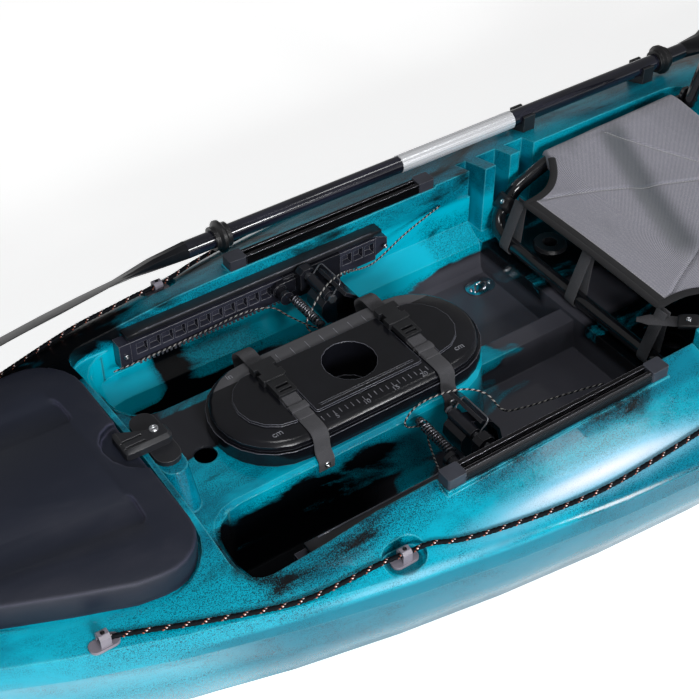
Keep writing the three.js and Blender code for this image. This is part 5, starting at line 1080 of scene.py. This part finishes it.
# Seat frame: 25 mm aluminium tube, bent and powder-coated gloss black, with a rear leg and
# hinge ears. Two split collars clamp the side tubes to the hull's ledge.
tube_finish = toned(
    "tube_powder_coat",
    (paint(15, 16, 19), paint(26, 27, 31)),
    (30.0, 4.0),
    soft=(0.35, 0.7),
    rough=(0.14, 0.1),
    edge=(0.0012,),
    fine=(380.0, 0.00006, 0.5),
    Coat_Weight=0.5,
    Coat_Roughness=0.06,
)
dress(tube_finish, "seat_frame", "seat_back_frame", sharp=50)
tube_y = 0.232
front_tube = ((0.028, 0.1855), (-0.025, 0.248))
collar_share = 0.62
collar_half_length = 0.013
collar_size, collar_corner, collar_chamfer = (0.036, 0.034), 0.42, 0.10
collar_screw_radius, collar_screw_rise, collar_screw_inset = 0.0046, 0.0166, 0.006
collar_steps = np.linspace(-1, 1, 7)
collar_ends = (np.abs(collar_steps) > 0.9)[:, None, None]
collar_rings = flat_section(*collar_size, collar_corner, 6) * (1 - collar_chamfer * collar_ends)
for side_name, mirror in sides:
    foot, head = [np.array((x, mirror * tube_y, z)) for x, z in front_tube]
    slope = (head - foot) / np.linalg.norm(head - foot)
    middle = foot + (head - foot) * collar_share
    path = middle + slope * collar_half_length * collar_steps[:, None]
    carried(f"{side_name}_tube_collar", path, collar_rings, (0, 1, 0), satin_finish, "seat", "satin_black")
    outward = np.cross((0, 1, 0), slope)
    outward *= np.sign(outward[2])
    screw_at = middle + outward * collar_screw_rise - (0, mirror * collar_screw_inset, 0)
    dome_screw(f"{side_name}_collar_screw", screw_at, outward, collar_screw_radius, "seat", steel_finish)

# Seat cover: grey open-mesh cloth stretched over the side tubes, sewn from panels whose seams
# meet in a star behind its middle, and bound with black webbing along its front edge and the
# two curved cut-outs. It sags a little under its own use, and painted shade darkens its crease
# and noisy patches of it.
cloth_front_x, cloth_rear_x = 0.020, -0.382
cutout_end_x = -0.092
front_half_width = 0.157
cloth_wrap_radius = 0.0155
wrap_turn = math.radians(200)
side_tube_rear_x, side_tube_run = -0.400, 0.305
side_tube_rear_z, side_tube_front_z = 0.285, 0.277
side_tube_radius, cloth_over_tube = 0.0125, 0.0058
hem_z, hem_crown = 0.273, 0.0055
sag_depth, sag_half_width, sag_full_x = 0.016, 0.216, -0.096
cutout_power = 3.4
channel_depth, channel_width = 0.0024, 0.0028
slack_rise, slack_width = 0.0016, 0.022
crease_depth, crease_width = 0.0050, 0.018
seam_centre = (-0.335, -0.004)
seam_starts = ((-0.010, 0.151), (-0.205, 0.226), (-0.380, 0.120))
seam_ends = [(x, mirror * y) for x, y in seam_starts for _, mirror in sides]
crease_ends = ((-0.215, -0.205), (-0.105, 0.110))
crease_middle = (-0.160, -0.0475)
crease_normal = (0.9435, -0.3313)
cloth_thickness = 0.0022
cloth_grey = paint(186, 185, 198)
cloth_dark = paint(92, 92, 102)
cloth_fleck = paint(186, 184, 190)


def seam_line(x, y, start, end):
    """Distance from each place to the stretch between two seam ends, and the way along it."""
    start, end = np.array(start), np.array(end)
    run = end - start
    share = np.clip(((x - start[0]) * run[0] + (y - start[1]) * run[1]) / (run @ run), 0.0, 1.0)
    return np.hypot(x - start[0] - share * run[0], y - start[1] - share * run[1]), share


def cloth_half_width(x):
    """Half width of the flat part: the cut-outs widen with a power of the way back from the
    front edge, until the cloth reaches the tubes."""
    share = np.clip((cloth_front_x - x) / (cloth_front_x - cutout_end_x), 0.0, 1.0)
    return front_half_width + (tube_y - front_half_width) * share**cutout_power


def cloth_surface(x, across):
    """Places of the seat cover. The middle hangs in a parabola between the tubes, deeper behind
    the front edge; each seam draws in a narrow channel with a soft slack ridge beside it."""
    reach = smooth_step(-x, -cloth_front_x, -sag_full_x)
    y = across * cloth_half_width(x)
    tube_fall = (x - side_tube_rear_x) * (side_tube_front_z - side_tube_rear_z) / side_tube_run
    tube_top = side_tube_rear_z + tube_fall + side_tube_radius
    edge = hem_z + (tube_top + cloth_over_tube - hem_z) * reach
    inner = np.clip(1 - (y / sag_half_width) ** 2, 0.0, 1.0)
    z = edge + (hem_crown * (1 - reach) - sag_depth * reach) * inner
    channel = np.zeros_like(x)
    slack = np.zeros_like(x)
    for end in seam_ends:
        distance, share = seam_line(x, y, end, seam_centre)
        channel = np.maximum(channel, np.exp(-((distance / channel_width) ** 2)))
        slack = slack + np.exp(-((distance / slack_width) ** 2)) * (1 - share) * 0.5
    crease, _ = seam_line(x, y, *crease_ends)
    crease = np.exp(-((crease / crease_width) ** 2))
    z = z - channel_depth * channel + slack_rise * slack - crease_depth * crease * inner
    return np.stack([x, y, z], -1)


def mesh_cloth(name):
    """Open mesh on its own flat sheet: a knit of sines between two greys, heathered by a fine
    noise. Returns the finish, its place and its shade."""
    finish = Finish(name, Sheen_Weight=0.3, Sheen_Roughness=0.5)
    u, v, _ = finish.split(finish.uv())
    place = finish.place()
    knit = (u * (2 * math.pi / 0.0034)).sine() * (v * (2 * math.pi / 0.0030)).sine() * 0.5 + 0.5
    heather = finish.noise(place, 520.0, 3.0, 0.75)
    flecked = (heather.eased(0.5, 0.75) * 0.6, cloth_fleck)
    shade = finish.layered(cloth_dark, (knit.eased(0.3, 0.9), cloth_grey), flecked)
    finish.wear(Base_Color=shade, Roughness=heather * 0.12 + 0.78, Normal=finish.bump(knit, 0.0006, 0.7))
    return finish, place, shade


rows, columns = 150, 171
cloth_xs = np.linspace(cloth_front_x, cloth_rear_x, rows)
flat_part = cloth_surface(*np.meshgrid(cloth_xs, np.linspace(-1.0, 1.0, columns), indexing="ij"))
seat_cloth, cloth_place, cloth_shade = mesh_cloth("seat_mesh_cloth")
# Painted shade: noisy patches and a band along the crease turn the cloth dark blue-grey.
shadow = seat_cloth.noise(seat_cloth.stretched(cloth_place, (2.4, 1.2, 1.0)), 6.0, 4.0, 0.55)
x, y, _ = seat_cloth.split(cloth_place)
crease_side = (x - crease_middle[0]) * crease_normal[0] + (y - crease_middle[1]) * crease_normal[1]
crease_band = (1 - abs(crease_side).eased(0.008, 0.040)) * y.band(-0.2, 0.06, 0.06)
crease_and_patch_shade = shadow.eased(0.52, 0.8) * 0.35 + crease_band * 0.7
seat_cloth.wear(Base_Color=seat_cloth.mixed(crease_and_patch_shade, cloth_shade, paint(58, 68, 73)))
wrap_steps = 14
wrap_angle = np.linspace(0.0, wrap_turn, wrap_steps + 1)[1:]


def wrapped(edge_rows, mirror):
    """Where the cover reaches a tube it goes round it: a circle about the tube from its top,
    outwards and under. Rows that end at a cut-out only turn their edge down."""
    top = edge_rows[:, None]
    fit = smooth_step(-edge_rows[:, 0], 0.060, -cutout_end_x)[:, None]
    radius = cloth_wrap_radius * fit + 0.002 * (1 - fit)
    turn = wrap_angle[None] * (fit + 0.45 * (1 - fit))
    y = top[..., 1] + mirror * radius * np.sin(turn)
    z = top[..., 2] - radius * (1 - np.cos(turn))
    return np.stack([np.broadcast_to(top[..., 0], y.shape), y, z], -1)


port_wrap = wrapped(flat_part[:, -1], 1)
starboard_wrap = wrapped(flat_part[:, 0], -1)[:, ::-1]
cover_grid = np.concatenate([starboard_wrap, flat_part, port_wrap], axis=1)
along_length = np.linspace(0.0, cloth_front_x - cloth_rear_x, rows)
cover = mesh_piece(
    "seat_cover",
    cover_grid.reshape(-1, 3),
    [grid_faces(rows, cover_grid.shape[1])],
    seat_cloth,
    "seat",
    "seat_mesh",
    ["seat_cloth"],
    grid_uv(lengths_along(cover_grid[-1]), along_length),
)
thick = cover.modifiers.new("cloth_thickness", "SOLIDIFY")
thick.thickness = cloth_thickness
thick.offset = -1.0

binding_finish = woven("binding_webbing", paint(33, 33, 36), 0.0020)
binding_half_width, binding_half_height = 0.0068, 0.0032
hem_size = (0.017, 0.0034)
hem_inset, hem_rise = 0.0105, 0.0006
edge_xs = np.linspace(-0.084, cloth_front_x - 0.001, 60)
port_edge = cloth_surface(edge_xs, np.ones(60))
starboard_edge = cloth_surface(edge_xs, -np.ones(60))[::-1]
front_edge = cloth_surface(np.full(80, cloth_front_x - 0.001), np.linspace(1, -1, 82)[1:-1])
edge_line = evenly(np.vstack([port_edge, front_edge, starboard_edge]), 0.002)
blur = np.hanning(9) / np.hanning(9).sum()
padded_line = np.vstack([np.repeat(edge_line[:1], 4, 0), edge_line, np.repeat(edge_line[-1:], 4, 0)])
edge_line = np.stack([np.convolve(padded_line[:, axis], blur, "valid") for axis in range(3)], 1)
level = across_line(edge_line, (0, 0, -1))
section = round_section(binding_half_width, 14, binding_half_height)
carried("seat_binding", edge_line, section, level, binding_finish, "seat", "webbing")
hem_line = cloth_surface(np.full(90, cloth_front_x - hem_inset), np.linspace(0.97, -0.97, 90))
hem_line = hem_line + (0, 0, hem_rise)
carried("seat_front_hem", hem_line, flat_section(*hem_size), (1, 0, 0), binding_finish, "seat", "webbing")

# Stitches: a short loop of thread at every pitch over each front and side seam, black on the
# port front one and pale on the others, and a pale row along the hem.
pale_colours = (paint(150, 150, 154), paint(224, 222, 220))
dark_colours = (paint(14, 14, 16), paint(44, 44, 48))
thread_pale = toned("seat_thread_pale", pale_colours, (800.0, 2.0), Roughness=0.7)
thread_dark = toned("seat_thread_dark", dark_colours, (800.0, 2.0), Roughness=0.7)
stitch_pitch = 0.0046
stitch_half, stitch_radius, stitch_tip = 0.0015, 0.00045, 0.00006
seam_stitch_rise, hem_stitch_rise, hem_stitch_inset = 0.0004, 0.0005, 0.0210
hem_stitch_count = 66


def stitches(name, centres, finish):
    """Flattened spindles, one per stitch: along its run each is a half ellipse thick, with six
    points round it."""
    steps = np.linspace(-1.0, 1.0, 5)
    girth = stitch_radius * np.sqrt(1.0 - (0.96 * steps) ** 2) + stitch_tip
    rings = round_section(1.0, 6) * girth[:, None, None]
    run = np.gradient(centres, axis=0)
    run /= np.linalg.norm(run, axis=1, keepdims=True)
    side = np.cross((0.0, 0.0, 1.0), run)
    side /= np.linalg.norm(side, axis=1, keepdims=True)
    run, side, up, centres = [part[:, None, None] for part in (run, side, np.cross(run, side), centres)]
    points = centres + steps[:, None, None] * stitch_half * run + rings[..., :1] * side + rings[..., 1:] * up
    each = rings.shape[0] * rings.shape[1]
    shift = (np.arange(len(points)) * each)[:, None, None]
    ends = np.array([[5, 4, 3, 2, 1, 0], list(range(each - 6, each))])
    faces = [(grid_faces(5, 6, closed=True) + shift).reshape(-1, 4), (ends + shift).reshape(-1, 6)]
    mesh_piece(name, points.reshape(-1, 3), faces, finish, "seat")


for order, end in enumerate(seam_ends[:4]):
    share = np.arange(0.03, 0.97, stitch_pitch / math.dist(end, seam_centre))
    seam_x = end[0] + (seam_centre[0] - end[0]) * share
    seam_y = end[1] + (seam_centre[1] - end[1]) * share
    centres = cloth_surface(seam_x, seam_y / cloth_half_width(seam_x)) + (0, 0, seam_stitch_rise)
    stitches(f"seat_seam_stitches_{order}", centres, thread_dark if order == 0 else thread_pale)
hem_stitch_x = np.full(hem_stitch_count, cloth_front_x - hem_stitch_inset)
hem_centres = cloth_surface(hem_stitch_x, np.linspace(-0.96, 0.96, hem_stitch_count))
stitches("seat_hem_stitches", hem_centres + (0, 0, hem_stitch_rise), thread_pale)

# Seat loops: three 22 mm bands of the lid straps' webbing. Each goes round the front tube from
# below, its two ends standing up under the front hem.
loop_size = (0.022, 0.0017)
loop_radius = 0.0141
loop_places = {"starboard": -0.176, "middle": -0.008, "port": 0.162}
loop_head = [(0.0072, 0.267), (0.0105, 0.240)]
loop_tail = [(0.0290, 0.228), (0.0150, 0.267)]
bottom = np.linspace(-1.75, 1.75, 30) - np.pi / 2 + 0.1
loop_arc = front_tube[0] + loop_radius * np.stack([np.cos(bottom), np.sin(bottom)], 1)
loop_xz = np.vstack([loop_head, loop_arc, loop_tail])
for loop_name, loop_y in loop_places.items():
    path = evenly(np.insert(loop_xz, 1, loop_y, axis=1), 0.002)
    name, replaced = f"{loop_name}_hem_loop", [f"{loop_name}_seat_loop"]
    carried(name, path, flat_section(*loop_size), (0, 1, 0), strap_finish, "seat", "webbing", replaced)

# Seat strap: a screwed slide under the cover's port front corner, from which a loose tail of
# webbing with a narrowed end runs forward and in.
tail_line = [
    (-0.016, 0.222, 0.266),
    (-0.008, 0.205, 0.262),
    (0.008, 0.182, 0.257),
    (0.026, 0.160, 0.253),
    (0.044, 0.140, 0.249),
]
tail_size, tail_narrowing = (0.024, 0.0017), 0.55
slide_line = [(-0.014, 0.212, 0.2665), (-0.002, 0.200, 0.2640), (0.008, 0.190, 0.2615)]
slide_size, slide_corner, slide_narrowing = (0.031, 0.0085), 0.4, 0.14
slide_screw_radius, slide_screw_rise = 0.0048, 0.0042
path = evenly(route_curve(tail_line, 10), 0.002)
width_share = 1 - tail_narrowing * smooth_step(np.linspace(0, 1, len(path)), 0.80, 1.0)
rings = flat_section(*tail_size) * np.stack([width_share, np.ones_like(width_share)], 1)[:, None]
level = across_line(path, (0.0, 0.0, 1.0))
carried("port_seat_strap_tail", path, rings, level, strap_finish, "seat", "webbing")
path = evenly(route_curve(slide_line, 8), 0.002)
slide_taper = 1 - slide_narrowing * np.linspace(-1, 1, len(path)) ** 4
rings = flat_section(*slide_size, slide_corner, 5) * slide_taper[:, None, None]
level = across_line(path, (0.0, 0.0, 1.0))
carried("port_seat_strap_slide", path, rings, level, buckle_finish, "seat", "satin_black")
slide_top = path[len(path) // 2] + (0, 0, slide_screw_rise)
dome_screw("port_slide_screw", slide_top, (0.1, 0, 1), slide_screw_radius, "seat", steel_finish)

# Seat back: a padded panel of the same mesh on its own folding frame, bound all round, with
# channels sewn from its lower corners to a point above its middle.
back_pivot = (-0.400, 0.306)
back_lean = math.radians(78)
back_height = 0.430
back_half_low, back_half_high, back_narrowing = 0.2065, 0.178, 0.12
back_low, back_high = 0.16, 0.93
back_thick = 0.014
back_lift = 0.0113
back_dish = 0.011
pad_height, pad_half_width = 0.33, 0.19
pad_sheet_height = 0.331
quilt_ends = ((0.0, 0.95), (0.0, -0.95), (1.0, 0.75), (1.0, -0.75), (0.45, 1.0), (0.45, -1.0))
quilt_point = (0.19, 0.0)
quilt_depth, quilt_width = 0.0035, 0.005
rim_half_width, rim_half_height = 0.0052, 0.0082


def back_surface(share, across, lift):
    """Places of the seat back: up the leaning frame by share of its height, out by across of
    its narrowing half width, and forward by lift."""
    narrow = 1 - back_narrowing * smooth_step(share, 0.7, 1.0)
    half = (back_half_low + (back_half_high - back_half_low) * share) * narrow
    up = back_height * share
    x = back_pivot[0] - up * math.cos(back_lean) + lift * math.sin(back_lean)
    z = back_pivot[1] + up * math.sin(back_lean) + lift * math.cos(back_lean)
    return np.stack([x, across * half, z], -1)


def squared(value, power):
    """A power of a number between -1 and 1 that keeps its sign: small powers square a circle."""
    return np.sign(value) * np.abs(value) ** power


back_rows, back_round = 90, 160
angle = 2 * np.pi * np.arange(back_round) / back_round
ring_depth = squared(np.sin(angle), 0.5)
height_share = np.linspace(0.0, 1.0, back_rows)
row_share = back_low + (back_high - back_low) * height_share
row_full = np.clip(1 - np.abs(2 * height_share - 1) ** 12, 0.03, 1.0) ** 0.5
grid_share, grid_across = np.meshgrid(row_share, squared(np.cos(angle), 0.5), indexing="ij")
corner_round = 1 - 0.05 * np.abs(2 * height_share - 1)[:, None] ** 8
dish = back_dish * (1 - grid_across**2) * np.sin(np.pi * height_share)[:, None]
quilt = np.zeros_like(grid_across)
pad_up = height_share[:, None] * pad_height + 0 * grid_across
for up, across in quilt_ends:
    seam_start = (up * pad_height, across * pad_half_width)
    distance, _ = seam_line(pad_up, grid_across * pad_half_width, seam_start, quilt_point)
    quilt = np.maximum(quilt, np.exp(-((distance / quilt_width) ** 2)))
lift = back_lift + back_thick / 2 - dish + ring_depth[None] * row_full[:, None] * back_thick / 2
lift = lift - quilt_depth * quilt * (ring_depth > 0)[None]
back_grid = back_surface(grid_share, grid_across * corner_round, lift)
middle_ring = back_grid[back_rows // 2]
ring_length = lengths_along(np.vstack([middle_ring, middle_ring[:1]]))
back_uv = np.vstack([grid_uv(ring_length, height_share * pad_sheet_height), np.zeros((6 * back_round, 2))])
back_cloth, _, _ = mesh_cloth("back_mesh_cloth")
back_pad = mesh_piece(
    "seat_back_pad", *capped(back_grid), back_cloth, "seat_back", "seat_mesh", ["seat_back_cloth"], back_uv
)
rim_turn = np.linspace(0.0, 2 * np.pi, 240)
rim_across = squared(np.cos(rim_turn), 0.3)
rim_height = 0.5 + 0.5 * squared(np.sin(rim_turn), 0.3)
rim_share = back_low + (back_high - back_low) * rim_height
rim_dish = back_dish * (1 - rim_across**2) * np.sin(np.pi * rim_height)
rim_line = evenly(back_surface(rim_share, rim_across, back_lift + back_thick / 2 - rim_dish), 0.004)
level = across_line(rim_line, (math.sin(back_lean), 0, math.cos(back_lean)))
rim_section = round_section(rim_half_width, 12, rim_half_height)
carried("seat_back_binding", rim_line, rim_section, level, binding_finish, "seat_back", "webbing")

# Paddle: two gloss blue-black composite shafts in a bright aluminium ferrule, each with a
# moulded blade and a soft rubber drip ring.
shaft_gloss = toned(
    "composite_shaft",
    (paint(14, 15, 24), paint(30, 31, 46)),
    (1.0, 4.0),
    stretch=(8.0, 60.0, 60.0),
    soft=(0.3, 0.75),
    rough=(0.12, 0.12),
    fine=(500.0, 0.00004, 0.5),
    Coat_Weight=0.7,
    Coat_Roughness=0.05,
)
dress(shaft_gloss, "front_paddle_shaft", "rear_paddle_shaft", sharp=50)
blade_finish = moulded("blade_nylon", paint(15, 16, 20), 0.42, 240.0, 0.0018, 0.3)
blade_finish.wear(Specular_IOR_Level=0.2)
dress(blade_finish, "front_paddle_blade", "rear_paddle_blade")
bright_finish = toned(
    "bright_aluminium",
    (paint(222, 224, 230), paint(246, 248, 250)),
    (1.0, 4.0),
    stretch=(4.0, 300.0, 300.0),
    rough=(0.12, 0.22),
    Metallic=0.45,
)
dress(bright_finish, "paddle_ferrule", sharp=50)
rubber_finish = moulded("drip_ring_rubber", paint(18, 18, 20), 0.4, 500.0, 0.002, 0.4)
dress(rubber_finish, "front_drip_ring", "rear_drip_ring", sharp=50)

# Rudder: a steel bracket on the stern, a moulded head that turns in it and a long blade that
# swings down from over the stern deck.
dress(steel_finish, "rudder_bracket")
dress(satin_finish, "rudder_head")
dress(blade_finish, "rudder_blade")
nut_x, nut_y, nut_z, nut_radius = -1.843, 0.0107, 0.416, 0.0075
for side_name, mirror in sides:
    screw_at = (nut_x, mirror * nut_y, nut_z)
    dome_screw(f"rudder_{side_name}_nut", screw_at, (0, mirror, 0), nut_radius, "rudder", steel_finish)
